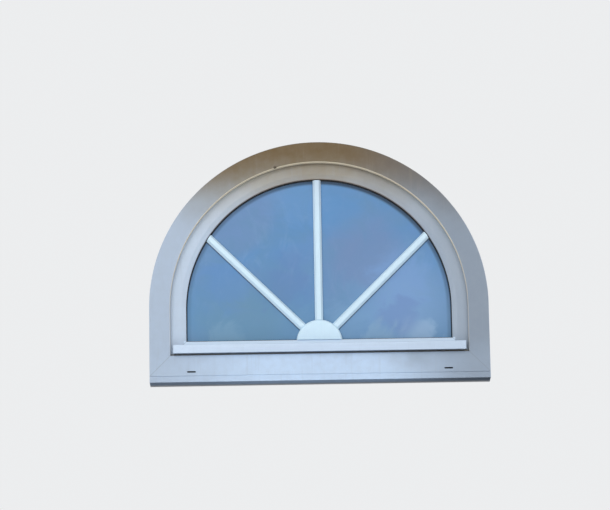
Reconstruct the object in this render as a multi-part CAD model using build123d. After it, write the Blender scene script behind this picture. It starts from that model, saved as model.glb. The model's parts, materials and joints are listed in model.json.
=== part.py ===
from build123d import *
import os
from math import atan, copysign, cos, degrees, hypot, radians, sin, tan

# A half-round tilting window: a welded frame of hollow plastic profiles with a straight
# bottom rail, a glazed sash that tips into the room on two bottom hinges, sunburst bars
# on both sides of the sealed unit, a weather rail, a sill profile and the fittings.
# Millimetres. X runs right seen from outside, Y runs into the room and Z runs up.
# The origin is the centre of the underside. Every profile is drawn in two section
# measures: u runs inwards from the frame's outer edge, v runs from the weather face.

# Overall size
WIDTH = 1100.0
STILT = 227.0
SILL_HEIGHT = 20.0
SILL_SETBACK = 1.5
SILL_WALL = 2.5

# Frame profile
FRAME_DEPTH = 70.0
FRAME_FACE = 68.0
FRAME_REBATE = 45.0
LIP_DEPTH = 16.0
LIP_CHAMFER = 1.5
WALL = 3.0
OUTER_WALL = 4.0
STEEL_V = 19.0
STEEL_ROOM = 26.0

# Sash profile
LIP_GAP = 4.0
SASH_FACE = 62.0
EDGE_GAP = 12.0
OVERLAP = 8.0
OVERLAP_GAP = 4.3
FLANGE = 9.7
GROOVE_OFFSET = 17.0
GROOVE_WIDTH = 16.0
GROOVE_DEPTH = 12.0
GLAZING_LEG = 14.0
GLAZING_REBATE = 20.0
LEG_SLOPE_RUN = 15.0
LEG_SLOPE_DROP = 7.0

# Sealed unit, its gaskets and beads
BLOCK_HEIGHT = 5.0
BLOCK_LENGTH = 80.0
BLOCK_INSET = 290.0
BLOCK_MARGIN = 1.0
PANE = 4.0
CAVITY = 16.0
SPACER_COVER = 3.0
SPACER_WIDTH = 7.0
GLAZING_GASKET = 3.0
GASKET_LIP = 3.0
BEAD_SLOPE = 9.0
SEAL_WIDTH = 6.0
SEAL_SETBACK = 1.0
SEAL_FLARE = 1.0
CLEARANCE = 0.3

# How far a cut or a fused piece runs past the face that it meets
PAST = 1.0

# Sunburst bars
BAR_ANGLES = {"left": -45.0, "centre": 0.0, "right": 45.0}
BAR_WIDTH = 26.0
BAR_THICKNESS = 12.0
BAR_CREST = 13.0
BAR_SHOULDER = 4.0
HUB_RADIUS = 75.0
HUB_THICKNESS = 14.0
HUB_BEVEL = 4.0
HUB_DROP = 8.0
CAVITY_BAR_WIDTH = 18.0
CAVITY_BAR_THICKNESS = 8.0
CAVITY_HUB_RADIUS = 40.0

# Weather rail on the sash's bottom rail
RAIL_END_GAP = 9.0
RAIL_GAP = 4.0
RAIL_PROJECTION = 36.0
RAIL_FACE = 28.0
RAIL_SLOPE = 6.0
RAIL_NOSE = 4.0
RAIL_CHAMFER = 2.0
RAIL_WALL = 3.0
RAIL_TOP_WALL = 4.2
RAIL_CAP = 2.0

# Drainage
WEEP_INSET = 135.0
WEEP_HEIGHT = 13.0
WEEP_LENGTH = 28.0
WEEP_WIDTH = 5.0
INNER_WEEP_INSET = 220.0

# Steel reinforcement and fixing holes
STEEL = 1.5
FRAME_STEEL_INSET = 60.0
SASH_STEEL_INSET = 120.0
FIXING_INSET = 300.0
FIXING_RADIUS = 3.1

# Bottom hinges
HINGE_INSET = 190.0
HINGE_LENGTH = 64.0
HINGE_AXIS_U = 37.0
HINGE_AXIS_BACK = 8.0
HINGE_PLATE = 3.0
HINGE_LEAF = 28.0
HINGE_ARM_ROOT = 14.0
HINGE_ARM_TIP = 3.0
KNUCKLE_RADIUS = 7.0
KNUCKLE_SASH = 26.0
KNUCKLE_GAP = 0.5
LEAF_GAP = 1.5
KNUCKLE_BITE = 1.0
HINGE_PIN_RADIUS = 4.0
RUNNING = 0.05
PIN_HEAD_RADIUS = 5.5
PIN_HEAD = 2.0
TILT_LIMIT = 15.0

# Handle, gearbox and lock bar at the crown
BACKSET = 23.0
ROSETTE_LENGTH = 70.0
ROSETTE_WIDTH = 30.0
ROSETTE_DEPTH = 10.0
ROSETTE_CORNER = 6.0
ROSETTE_CHAMFER = 2.0
SPINDLE = 7.0
SPINDLE_PLAY = 0.1
SPINDLE_HOLE = 12.0
LEVER_LENGTH = 115.0
LEVER_WIDTH = 21.0
LEVER_THICKNESS = 12.0
LEVER_EDGE = 3.5
LEVER_STANDOFF = 18.0
LEVER_SOCKET = 6.0
NECK_RADIUS = 9.0
PINION_TEETH = 16
PINION_PITCH_RADIUS = 11.0
PINION_FACE = 9.0
PINION_HUB_RADIUS = 7.0
ADDENDUM = 1.2
DEDENDUM = 1.5
TOOTH = 1.7
FLANK = 20.0
TOOTH_BITE = 0.5
RACK_TEETH = 8
RACK_LEAD = 2.5
HANDLE_TURN = 90.0
GEARBOX_LENGTH = 58.0
GEARBOX_BELOW = 15.0
GEARBOX_ABOVE = 8.0
FACEPLATE = 2.0
FACEPLATE_SPAN = 84.0
BAR_PLATE = 4.4
LOCK_BAR_WIDTH = 11.0
LOCK_BAR_SPAN = 72.0
CAM_ANGLES = {"left": -27.0, "centre": 0.0, "right": 27.0}
CAM_RADIUS = 4.0
CAM_REACH = 7.0
CAM_SLOT_PLAY = 0.5
STRIKER_BASE = 2.5
STRIKER_CLAW = 5.5
STRIKER_LENGTH = 36.0
STRIKER_WIDTH = 18.0
CLAW_LENGTH = 14.0
CLAW_THICKNESS = 3.5
CLAW_PLAY = 0.5

# Tilt stays beside the sash
STAY_STUD_REACH = 100.0
STAY_PIVOT_REACH = 180.0
STAY_LEAN = 0.3
STAY_WIDTH = 14.0
STAY_THICKNESS = 2.5
STAY_SLOT = 8.0
STAY_PIN_RADIUS = 3.0
STAY_HEAD_RADIUS = 5.2
STAY_HEAD = 1.4
STAY_SIDE_GAP = 0.5
STAY_PLATE = 2.5
STAY_PLATE_HEIGHT = 36.0
STAY_PLATE_MARGIN = 9.0
STAY_END_PLAY = 0.6

# Places worked out from the sizes above
RADIUS = WIDTH / 2
BASE_Z = SILL_HEIGHT
SPRING_Z = BASE_Z + STILT
MID_V = FRAME_DEPTH / 2
SASH_EDGE = FRAME_REBATE + EDGE_GAP
SIGHT = SASH_EDGE + SASH_FACE
SASH_V = LIP_DEPTH + LIP_GAP
FLANGE_EDGE = FRAME_REBATE - OVERLAP
FLANGE_V = FRAME_DEPTH + OVERLAP_GAP
SASH_BACK = FLANGE_V + FLANGE
GLAZING_BASE = SIGHT - GLAZING_REBATE
GLASS_EDGE = GLAZING_BASE + BLOCK_HEIGHT
LEG_BACK = SASH_V + GLAZING_LEG
OUTER_PANE_V = LEG_BACK + GLAZING_GASKET
CAVITY_V = OUTER_PANE_V + PANE
INNER_PANE_V = CAVITY_V + CAVITY
GLASS_BACK = INNER_PANE_V + PANE
BEAD_V = GLASS_BACK + GLAZING_GASKET
GROOVE_V = SASH_V + GROOVE_OFFSET
GROOVE_BACK = GROOVE_V + GROOVE_WIDTH
GROOVE_FLOOR = SASH_EDGE + GROOVE_DEPTH
DAYLIGHT = SIGHT + GASKET_LIP
HUB_Z = BASE_Z + SIGHT - HUB_DROP
HINGE_AXIS_V = SASH_BACK + HINGE_AXIS_BACK
HINGE_X = RADIUS - HINGE_INSET
AXIS_Y = Axis((0, 0, SPRING_Z), (0, 1, 0))
MITRE_REACH = STILT + SIGHT

# The frame's and the sash's steel chambers, as low and high corners in u and v
FRAME_STEEL_BOX = (OUTER_WALL, STEEL_V, FRAME_REBATE - OUTER_WALL, STEEL_V + STEEL_ROOM)
SASH_STEEL_BOX = (GROOVE_FLOOR + WALL, GROOVE_V, GLAZING_BASE - WALL, INNER_PANE_V + PANE)


def y_of(v):
    """Row Y of a section depth."""
    return v - MID_V


def arch_z(r):
    """Height of a radius on the arch at the crown."""
    return SPRING_Z + r


def box(x0, x1, v0, v1, z0, z1):
    """A block between two corners, with its depth given as section depths."""
    block = Box(x1 - x0, v1 - v0, z1 - z0)
    return Pos((x0 + x1) / 2, y_of((v0 + v1) / 2), (z0 + z1) / 2) * block


def rod(radius, x0, x1, v, z):
    """A round bar along X."""
    bar = Cylinder(radius, x1 - x0, rotation=(0, 90, 0))
    return Pos((x0 + x1) / 2, y_of(v), z) * bar


def hexagon(radius, x0, x1, v, z):
    """A six-sided head along X, measured over its corners."""
    corners = []
    for i in range(6):
        turn = radians(i * 60)
        corners.append((x0, y_of(v) + radius * cos(turn), z + radius * sin(turn)))
    return extrude(Face(Wire.make_polygon(corners)), amount=x1 - x0, dir=(1, 0, 0))


def shaft(radius, v0, v1, x, z):
    """A round bar along Y, between two section depths."""
    bar = Cylinder(radius, v1 - v0, rotation=(90, 0, 0))
    return Pos(x, y_of((v0 + v1) / 2), z) * bar


def both_sides(part):
    """The part and its mirror image across the window's centre line."""
    return part, mirror(part, Plane.YZ)


def group(parts):
    """Separate solids that share one node."""
    return Compound(children=[Solid(s.wrapped) for part in parts for s in part.solids()])


def section_face(outline, chambers, place):
    """A profile's section, with its chambers as holes, placed by a function of u and v."""
    outer = Wire.make_polygon([place(u, v) for u, v in outline])
    holes = []
    for u0, v0, u1, v1 in chambers:
        corners = [(u0, v0), (u1, v0), (u1, v1), (u0, v1)]
        holes.append(Wire.make_polygon([place(u, v) for u, v in corners]))
    return Face(outer, holes)


def mitre(side):
    """The wedge on one side, +1 above or -1 below, of the mitre at the bottom right corner."""
    low = (RADIUS + MITRE_REACH, 0, BASE_Z - MITRE_REACH)
    high = (RADIUS - MITRE_REACH, 0, BASE_Z + MITRE_REACH)
    third = (RADIUS + side * MITRE_REACH, 0, BASE_Z + side * MITRE_REACH)
    wedge = Face(Wire.make_polygon([low, high, third]))
    return extrude(wedge, amount=MITRE_REACH, dir=(0, 1, 0), both=True)


def head(outline, chambers=()):
    """A profile bent over the arch and carried down both straight legs to the mitres."""
    face = section_face(outline, chambers, lambda u, v: (RADIUS - u, y_of(v), SPRING_Z))
    arch = revolve(face, Axis((0, 0, SPRING_Z), (0, -1, 0)), 180)
    right = extrude(face, amount=STILT, dir=(0, 0, -1)) - mitre(-1)
    left = mirror(right, Plane.YZ)
    return arch + right + left


def rail(outline, chambers=()):
    """The same profile laid straight along the bottom, mitred at both ends."""
    face = section_face(outline, chambers, lambda u, v: (0, y_of(v), BASE_Z + u))
    right = extrude(face, amount=RADIUS, dir=(1, 0, 0)) - mitre(1)
    return right + mirror(right, Plane.YZ)


def ring(outline):
    """A profile run all the way round in one piece, as a gasket or spacer is."""
    return head(outline) + rail(outline)


def light(u, v0, v1):
    """A solid of the half-round light, inset by u from the frame's outer edge."""
    r = RADIUS - u
    low = BASE_Z + u
    corners = [(-r, SPRING_Z), (-r, low), (r, low), (r, SPRING_Z)]
    legs = Polyline(*[(x, y_of(v0), z) for x, z in corners])
    crown = (0, y_of(v0), SPRING_Z + r)
    arc = ThreePointArc((r, y_of(v0), SPRING_Z), crown, (-r, y_of(v0), SPRING_Z))
    face = Face(Wire([*legs.edges(), *arc.edges()]))
    return extrude(face, amount=v1 - v0, dir=(0, 1, 0))


def arc_block(r0, r1, v0, v1, a0, a1):
    """A block bent round the arch's centre between two angles from the crown."""
    corners = [(r0, v0), (r1, v0), (r1, v1), (r0, v1)]
    face = Face(Wire.make_polygon([(0, y_of(v), SPRING_Z + r) for r, v in corners]))
    return revolve(face, AXIS_Y, a1 - a0).rotate(AXIS_Y, a0)


def frame_outline():
    """The frame profile: weather face, lip and the rebate that takes the sash."""
    return [
        (0, 0),
        (FRAME_FACE - LIP_CHAMFER, 0),
        (FRAME_FACE, LIP_CHAMFER),
        (FRAME_FACE, LIP_DEPTH),
        (FRAME_REBATE, LIP_DEPTH),
        (FRAME_REBATE, FRAME_DEPTH),
        (0, FRAME_DEPTH),
    ]


def frame_chambers():
    """The front drainage chamber, the steel chamber and the room-side chamber."""
    u0, v0, u1, v1 = FRAME_STEEL_BOX
    front = (OUTER_WALL, WALL, FRAME_FACE - OUTER_WALL, LIP_DEPTH - WALL)
    back = (u0, v1 + WALL, u1, FRAME_DEPTH - WALL)
    return [front, FRAME_STEEL_BOX, back]


def sash_outline():
    """The sash profile: sloped glazing leg, glazing rebate, overlap flange and fittings groove."""
    return [
        (SASH_EDGE, SASH_V),
        (SIGHT - LEG_SLOPE_RUN, SASH_V),
        (SIGHT, SASH_V + LEG_SLOPE_DROP),
        (SIGHT, LEG_BACK),
        (GLAZING_BASE, LEG_BACK),
        (GLAZING_BASE, SASH_BACK),
        (FLANGE_EDGE, SASH_BACK),
        (FLANGE_EDGE, FLANGE_V),
        (SASH_EDGE, FLANGE_V),
        (SASH_EDGE, GROOVE_BACK),
        (GROOVE_FLOOR, GROOVE_BACK),
        (GROOVE_FLOOR, GROOVE_V),
        (SASH_EDGE, GROOVE_V),
    ]


def sash_chambers():
    """The front, steel and room-side chambers of the sash."""
    u0, v0, u1, v1 = SASH_STEEL_BOX
    front = (SASH_EDGE + WALL, SASH_V + WALL, GLAZING_BASE - OUTER_WALL, LEG_BACK)
    back = (SASH_EDGE + WALL, v1 + WALL, u1, SASH_BACK - WALL)
    return [front, SASH_STEEL_BOX, back]


def weep_slot(x, z, v0, v1):
    """A round-ended drainage slot through a wall, centred at x and z."""
    straight = WEEP_LENGTH - WEEP_WIDTH
    slot = box(x - straight / 2, x + straight / 2, v0, v1, z - WEEP_WIDTH / 2, z + WEEP_WIDTH / 2)
    for side in (-1, 1):
        slot += shaft(WEEP_WIDTH / 2, v0, v1, x + side * straight / 2, z)
    return slot


def fixing_drill(z0, z1):
    """The pair of frame screw holes through the bottom of the frame."""
    drill = None
    v = (FRAME_STEEL_BOX[1] + FRAME_STEEL_BOX[3]) / 2
    for side in (-1, 1):
        x = side * (RADIUS - FIXING_INSET)
        hole = Pos(x, y_of(v), (z0 + z1) / 2) * Cylinder(FIXING_RADIUS, z1 - z0)
        drill = hole if drill is None else drill + hole
    return drill


def frame_head():
    """The arched head and straight jambs of the frame, bent from one profile."""
    return head(frame_outline(), frame_chambers())


def frame_bottom_rail():
    """The frame's bottom rail, with its weep slots, inner drains and screw holes."""
    bar = rail(frame_outline(), frame_chambers())
    for side in (-1, 1):
        outer_x = side * (RADIUS - WEEP_INSET)
        inner_x = side * (RADIUS - INNER_WEEP_INSET)
        bar -= weep_slot(outer_x, BASE_Z + WEEP_HEIGHT, -PAST, WALL + PAST)
        x0 = inner_x - WEEP_LENGTH / 2
        z0 = BASE_Z + FRAME_REBATE
        v0 = LIP_DEPTH - WALL - PAST
        bar -= box(x0, x0 + WEEP_LENGTH, v0, LIP_DEPTH + PAST, z0, z0 + WEEP_WIDTH)
    return bar - fixing_drill(BASE_Z - PAST, BASE_Z + FRAME_REBATE + PAST)


def steel_channel(chamber, inset):
    """A cold-rolled channel that fills a chamber, with its web at the chamber's outer wall."""
    length = WIDTH - 2 * inset
    u0, v0, u1, v1 = chamber
    u0 += CLEARANCE
    v0 += CLEARANCE
    u1 -= CLEARANCE
    v1 -= CLEARANCE
    outline = [
        (u0, v0),
        (u1, v0),
        (u1, v0 + STEEL),
        (u0 + STEEL, v0 + STEEL),
        (u0 + STEEL, v1 - STEEL),
        (u1, v1 - STEEL),
        (u1, v1),
        (u0, v1),
    ]
    face = section_face(outline, (), lambda u, v: (-length / 2, y_of(v), BASE_Z + u))
    return extrude(face, amount=length, dir=(1, 0, 0))


def frame_reinforcement():
    """The galvanised channel in the frame's bottom rail, drilled for the frame screws."""
    channel = steel_channel(FRAME_STEEL_BOX, FRAME_STEEL_INSET)
    return channel - fixing_drill(BASE_Z, BASE_Z + FRAME_REBATE)


def sash_reinforcement():
    """The galvanised channel in the sash's bottom rail."""
    return steel_channel(SASH_STEEL_BOX, SASH_STEEL_INSET)


def sill_profile():
    """The hollow base profile under the frame, set back a little from its face."""
    block = box(-RADIUS, RADIUS, SILL_SETBACK, FRAME_DEPTH, 0, SILL_HEIGHT)
    half = (FRAME_DEPTH - SILL_SETBACK - 3 * SILL_WALL) / 2
    for v0 in (SILL_SETBACK + SILL_WALL, SILL_SETBACK + 2 * SILL_WALL + half):
        ends = RADIUS + PAST
        block -= box(-ends, ends, v0, v0 + half, SILL_WALL, SILL_HEIGHT - SILL_WALL)
    return block - fixing_drill(-PAST, SILL_HEIGHT + PAST)


def frame_gasket():
    """The outer stop gasket on the back of the frame's lip."""
    lip = FRAME_FACE - SEAL_SETBACK
    tip = SASH_V - CLEARANCE
    outline = [
        (lip - SEAL_WIDTH, LIP_DEPTH),
        (lip - SEAL_FLARE, LIP_DEPTH),
        (lip, tip),
    ]
    return ring(outline)


def sash_gasket():
    """The inner stop gasket on the sash's overlap flange."""
    edge = FLANGE_EDGE + SEAL_SETBACK
    tip = FRAME_DEPTH + CLEARANCE
    outline = [
        (edge + SEAL_FLARE, FLANGE_V),
        (edge, tip),
        (edge + SEAL_WIDTH, FLANGE_V),
    ]
    return ring(outline)


def spindle_hole(v0, v1):
    """The square hole that clears the spindle, cut through between two depths."""
    half = SPINDLE_HOLE / 2
    z = handle_z()
    return box(-half, half, v0 - PAST, v1 + PAST, z - half, z + half)


def sash_head():
    """The arched head and jambs of the sash, milled at the crown for the gearbox."""
    bar = head(sash_outline(), sash_chambers())
    crown = arch_z(RADIUS - GROOVE_FLOOR)
    half = GEARBOX_LENGTH / 2 + CLEARANCE
    low = handle_z() - GEARBOX_BELOW - CLEARANCE
    bar -= box(-half, half, GROOVE_V, GROOVE_BACK, low, crown + PAST)
    return bar - spindle_hole(GROOVE_BACK, SASH_BACK)


def sash_bottom_rail():
    """The sash's straight bottom rail."""
    return rail(sash_outline(), sash_chambers())


def pane(v):
    """One sheet of the sealed unit."""
    return light(GLASS_EDGE, v, v + PANE)


def pane_spacer():
    """The spacer that keeps the two panes apart, with its edge sealant."""
    u0 = GLASS_EDGE + SPACER_COVER
    u1 = u0 + SPACER_WIDTH
    return ring([(u0, CAVITY_V), (u1, CAVITY_V), (u1, INNER_PANE_V), (u0, INNER_PANE_V)])


def glazing_gasket(v0, v1):
    """A glazing gasket, whose lip shows as a thin dark line inside the sash."""
    u0 = GLASS_EDGE + SEAL_SETBACK
    return ring([(u0, v0), (DAYLIGHT, v0), (DAYLIGHT, v1), (u0, v1)])


def bead_outline():
    """The glazing bead's section, sloped towards the glass."""
    return [
        (GLAZING_BASE, BEAD_V),
        (SIGHT, BEAD_V),
        (SIGHT, SASH_BACK - BEAD_SLOPE),
        (SIGHT - BEAD_SLOPE, SASH_BACK),
        (GLAZING_BASE, SASH_BACK),
    ]


def setting_blocks():
    """The blocks that carry the sealed unit in the rebate, two below it and one each side."""
    z0 = BASE_Z + GLAZING_BASE
    x0 = RADIUS - GLASS_EDGE
    x1 = RADIUS - GLAZING_BASE
    v0 = OUTER_PANE_V - BLOCK_MARGIN
    v1 = GLASS_BACK + BLOCK_MARGIN
    half = BLOCK_LENGTH / 2
    blocks = []
    x = RADIUS - BLOCK_INSET
    blocks += both_sides(box(x - half, x + half, v0, v1, z0, z0 + BLOCK_HEIGHT))
    top = SPRING_Z - BLOCK_HEIGHT
    blocks += both_sides(box(x0, x1, v0, v1, top - BLOCK_LENGTH, top))
    return group(blocks)


def bar_outline(seat, crest):
    """A bar's section across its length: flat crest, bevelled sides and square shoulders."""
    shoulder = seat + (BAR_SHOULDER if crest > seat else -BAR_SHOULDER)
    half = BAR_WIDTH / 2
    return [
        (-half, seat),
        (half, seat),
        (half, shoulder),
        (BAR_CREST / 2, crest),
        (-BAR_CREST / 2, crest),
        (-half, shoulder),
    ]


def radial_bar(outline, angle):
    """A section carried straight out from the hub's centre at an angle from the vertical."""
    face = Face(Wire.make_polygon([(x, y_of(v), HUB_Z) for x, v in outline]))
    bar = extrude(face, amount=RADIUS, dir=(0, 0, 1))
    return bar.rotate(Axis((0, 0, HUB_Z), (0, 1, 0)), angle)


def surface_bar(seat, crest, angle):
    """A bar stuck on the glass, scribed to the gasket and to the hub."""
    low = min(seat, crest)
    high = max(seat, crest)
    bar = radial_bar(bar_outline(seat, crest), angle)
    bar &= light(DAYLIGHT + CLEARANCE, low, high)
    return bar - shaft(HUB_RADIUS + CLEARANCE, low - PAST, high + PAST, 0, HUB_Z)


def surface_hub(seat, face):
    """The half-round boss where the bars meet, bevelled, with its foot lipped over the gasket."""
    step = HUB_BEVEL if seat > face else -HUB_BEVEL
    lip = seat - copysign(1, step) * (GLAZING_GASKET + CLEARANCE)
    outline = [
        (0, seat),
        (HUB_RADIUS, seat),
        (HUB_RADIUS, face + step),
        (HUB_RADIUS - HUB_BEVEL, face),
        (0, face),
    ]
    half = Face(Wire.make_polygon([(x, y_of(v), HUB_Z) for x, v in outline]))
    disc = revolve(half, Axis((0, 0, HUB_Z), (0, -1, 0)), 360)
    foot = light(DAYLIGHT + CLEARANCE, min(seat, face), max(seat, face))
    foot += light(SIGHT + CLEARANCE, min(lip, face), max(lip, face))
    return disc & foot


def cavity_bars():
    """The flat grille inside the sealed unit, in line with the bars on its faces."""
    v0 = CAVITY_V + (CAVITY - CAVITY_BAR_THICKNESS) / 2
    v1 = v0 + CAVITY_BAR_THICKNESS
    half = CAVITY_BAR_WIDTH / 2
    outline = [(-half, v0), (half, v0), (half, v1), (-half, v1)]
    grille = shaft(CAVITY_HUB_RADIUS, v0, v1, 0, HUB_Z)
    for angle in BAR_ANGLES.values():
        grille += radial_bar(outline, angle)
    inside = GLASS_EDGE + SPACER_COVER + SPACER_WIDTH + CLEARANCE
    return grille & light(inside, v0, v1)


def drip_rail_outline(wall=0.0):
    """The weather rail's section as depths and heights, or the chamber inside it."""
    z0 = BASE_Z + FRAME_FACE + RAIL_GAP
    front = SASH_V - RAIL_PROJECTION
    top = z0 + RAIL_FACE
    if wall:
        low = z0 + RAIL_NOSE + wall
        return [
            (SASH_V - wall, low),
            (SASH_V - wall, top + RAIL_SLOPE - RAIL_TOP_WALL),
            (front + wall, top - wall),
            (front + wall, low),
        ]
    return [
        (SASH_V, z0 + RAIL_NOSE),
        (SASH_V, top + RAIL_SLOPE),
        (front + RAIL_CHAMFER, top),
        (front, top - RAIL_CHAMFER),
        (front, z0),
        (front + RAIL_NOSE, z0),
        (front + RAIL_NOSE, z0 + RAIL_NOSE),
    ]


def drip_rail_end():
    """Half the weather rail's length, short of the frame's lip."""
    return RADIUS - FRAME_FACE - RAIL_END_GAP


def drip_section(points, x):
    """The weather rail's outline as a face across X."""
    return Face(Wire.make_polygon([(x, y_of(v), z) for v, z in points]))


def drip_rail():
    """The hollow weather rail that throws water clear of the joint below the sash."""
    half = drip_rail_end() - RAIL_CAP
    outer = extrude(drip_section(drip_rail_outline(), -half), amount=2 * half, dir=(1, 0, 0))
    core = extrude(drip_section(drip_rail_outline(RAIL_WALL), -half), amount=2 * half, dir=(1, 0, 0))
    return outer - core


def drip_rail_cap():
    """The cap on the right end of the weather rail."""
    face = drip_section(drip_rail_outline(), drip_rail_end() - RAIL_CAP)
    return extrude(face, amount=RAIL_CAP, dir=(1, 0, 0))


def hinge_z():
    """Height of the hinge axis."""
    return BASE_Z + HINGE_AXIS_U


def knuckle(x0, x1):
    """One barrel of the hinge, bored for the pin."""
    barrel = rod(KNUCKLE_RADIUS, x0, x1, HINGE_AXIS_V, hinge_z())
    bore = HINGE_PIN_RADIUS + RUNNING
    return barrel - rod(bore, x0 - PAST, x1 + PAST, HINGE_AXIS_V, hinge_z())


def hinge_frame_leaf():
    """The right hinge's leaf on the frame, with arms under the sash to its two barrels."""
    x0 = HINGE_X - HINGE_LENGTH / 2
    x1 = HINGE_X + HINGE_LENGTH / 2
    gap = KNUCKLE_SASH / 2 + KNUCKLE_GAP
    z = hinge_z()
    top = z - KNUCKLE_RADIUS
    back = FRAME_DEPTH + HINGE_PLATE
    leaf = box(x0, x1, FRAME_DEPTH, back, top - HINGE_LEAF, top)
    arm = [
        (FRAME_DEPTH, top - HINGE_ARM_ROOT),
        (FRAME_DEPTH, top),
        (HINGE_AXIS_V, top + HINGE_ARM_TIP),
        (HINGE_AXIS_V, top),
    ]
    for a, b in ((x0, HINGE_X - gap), (HINGE_X + gap, x1)):
        face = Face(Wire.make_polygon([(a, y_of(v), h) for v, h in arm]))
        web = extrude(face, amount=b - a, dir=(1, 0, 0))
        leaf += web - rod(KNUCKLE_RADIUS - KNUCKLE_BITE, a, b, HINGE_AXIS_V, z)
        leaf += knuckle(a, b)
    return leaf


def hinge_sash_leaf():
    """The right hinge's leaf on the sash, with the middle barrel."""
    x0 = HINGE_X - HINGE_LENGTH / 2
    x1 = HINGE_X + HINGE_LENGTH / 2
    half = KNUCKLE_SASH / 2
    z = hinge_z()
    low = z + KNUCKLE_RADIUS + LEAF_GAP
    back = SASH_BACK + HINGE_PLATE
    leaf = box(x0, x1, SASH_BACK, back, low, low + HINGE_LEAF)
    arm = box(HINGE_X - half, HINGE_X + half, SASH_BACK + KNUCKLE_GAP, back, z, low)
    arm -= rod(KNUCKLE_RADIUS - KNUCKLE_BITE, x0, x1, HINGE_AXIS_V, z)
    return leaf + arm + knuckle(HINGE_X - half, HINGE_X + half)


def hinge_pin():
    """The right hinge's pin, pushed in from the outer end up to its head."""
    x0 = HINGE_X - HINGE_LENGTH / 2
    x1 = HINGE_X + HINGE_LENGTH / 2
    pin = rod(HINGE_PIN_RADIUS, x0, x1, HINGE_AXIS_V, hinge_z())
    return pin + rod(PIN_HEAD_RADIUS, x1, x1 + PIN_HEAD, HINGE_AXIS_V, hinge_z())


def handle_z():
    """Height of the handle's spindle at the crown."""
    return arch_z(RADIUS - SASH_EDGE - BACKSET)


def pinion_v():
    """Depths of the pinion's two faces."""
    mid = (GROOVE_V + GROOVE_BACK) / 2
    return mid - PINION_FACE / 2, mid + PINION_FACE / 2


def tooth_corners(pitch, tip, root):
    """A tooth's four corners about a centre below it, from its pitch, tip and root radii."""
    slope = tan(radians(FLANK))
    at_tip = TOOTH / 2 - abs(tip - pitch) * slope
    at_root = TOOTH / 2 + abs(root - pitch) * slope
    return [(-at_root, root), (-at_tip, tip), (at_tip, tip), (at_root, root)]


def gear_pinion():
    """The pinion that the spindle turns, with a hub each side that runs in the gearbox."""
    v0, v1 = pinion_v()
    z = handle_z()
    pitch = PINION_PITCH_RADIUS
    outline = []
    for i in range(PINION_TEETH):
        turn = radians(i * 360 / PINION_TEETH)
        for x, h in tooth_corners(pitch, pitch + ADDENDUM, pitch - DEDENDUM):
            outline.append((x * cos(turn) + h * sin(turn), y_of(v0), z + h * cos(turn) - x * sin(turn)))
    wheel = extrude(Face(Wire.make_polygon(outline)), amount=v1 - v0, dir=(0, 1, 0))
    wheel += shaft(PINION_HUB_RADIUS, GROOVE_V + CLEARANCE, GROOVE_BACK - CLEARANCE, 0, z)
    half = SPINDLE / 2 + SPINDLE_PLAY
    return wheel - box(-half, half, GROOVE_V, GROOVE_BACK, z - half, z + half)


def handle_spindle():
    """The square spindle from the gearbox to the lever."""
    half = SPINDLE / 2
    z = handle_z()
    end = SASH_BACK + ROSETTE_DEPTH + CLEARANCE + LEVER_STANDOFF + LEVER_SOCKET
    return box(-half, half, GROOVE_V + CLEARANCE, end, z - half, z + half)


def lock_gearbox():
    """The gearbox case in the sash's milled pocket, open above where the rack runs."""
    z = handle_z()
    half = GEARBOX_LENGTH / 2
    top = z + GEARBOX_ABOVE
    v0, v1 = pinion_v()
    room = PINION_PITCH_RADIUS + ADDENDUM + CLEARANCE
    case = box(-half, half, GROOVE_V, GROOVE_BACK, z - GEARBOX_BELOW, top)
    case -= box(-room, room, v0 - CLEARANCE, v1 + CLEARANCE, z - room, top + PAST)
    bearing = PINION_HUB_RADIUS + RUNNING
    return case - shaft(bearing, GROOVE_V - PAST, GROOVE_BACK + PAST, 0, z)


def rack_radius():
    """Radius of the rack's pitch line about the arch's centre."""
    return RADIUS - SASH_EDGE - BACKSET + PINION_PITCH_RADIUS


def lock_turn():
    """Angle in degrees that the lock bar moves over the handle's full turn."""
    return HANDLE_TURN * PINION_PITCH_RADIUS / rack_radius()


def tooth_pitch():
    """Angle in degrees between the rack's teeth."""
    return 360 / PINION_TEETH * PINION_PITCH_RADIUS / rack_radius()


def bar_outer():
    """Outer radius of the lock bar, just under the faceplate."""
    return RADIUS - SASH_EDGE - FACEPLATE - CLEARANCE


def lock_bar():
    """The curved bar that slides round the sash's groove, with rack teeth at the crown."""
    mid = (GROOVE_V + GROOVE_BACK) / 2
    v0 = mid - LOCK_BAR_WIDTH / 2
    v1 = mid + LOCK_BAR_WIDTH / 2
    r1 = bar_outer()
    r0 = r1 - BAR_PLATE
    span = LOCK_BAR_SPAN / 2
    bar = arc_block(r0, r1, v0, v1, -span, span)
    g0, g1 = pinion_v()
    pitch = rack_radius()
    root = pitch + DEDENDUM
    step = tooth_pitch()
    first = (RACK_LEAD - RACK_TEETH) * step
    bar += arc_block(root, r0 + TOOTH_BITE, g0, g1, first - step, first + RACK_TEETH * step)
    corners = tooth_corners(pitch, pitch - ADDENDUM, root + TOOTH_BITE)
    face = Face(Wire.make_polygon([(x, y_of(g0), SPRING_Z + h) for x, h in corners]))
    tooth = extrude(face, amount=g1 - g0, dir=(0, 1, 0))
    for i in range(RACK_TEETH):
        bar += tooth.rotate(AXIS_Y, first + i * step)
    return bar


def lock_cams():
    """The round cams on the lock bar that pull behind the strikers."""
    mid = (GROOVE_V + GROOVE_BACK) / 2
    r0 = bar_outer()
    r1 = RADIUS - SASH_EDGE + CAM_REACH
    cams = []
    for angle in CAM_ANGLES.values():
        cam = Pos(0, y_of(mid), SPRING_Z + (r0 + r1) / 2) * Cylinder(CAM_RADIUS, r1 - r0)
        cams.append(cam.rotate(AXIS_Y, angle))
    return group(cams)


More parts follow.
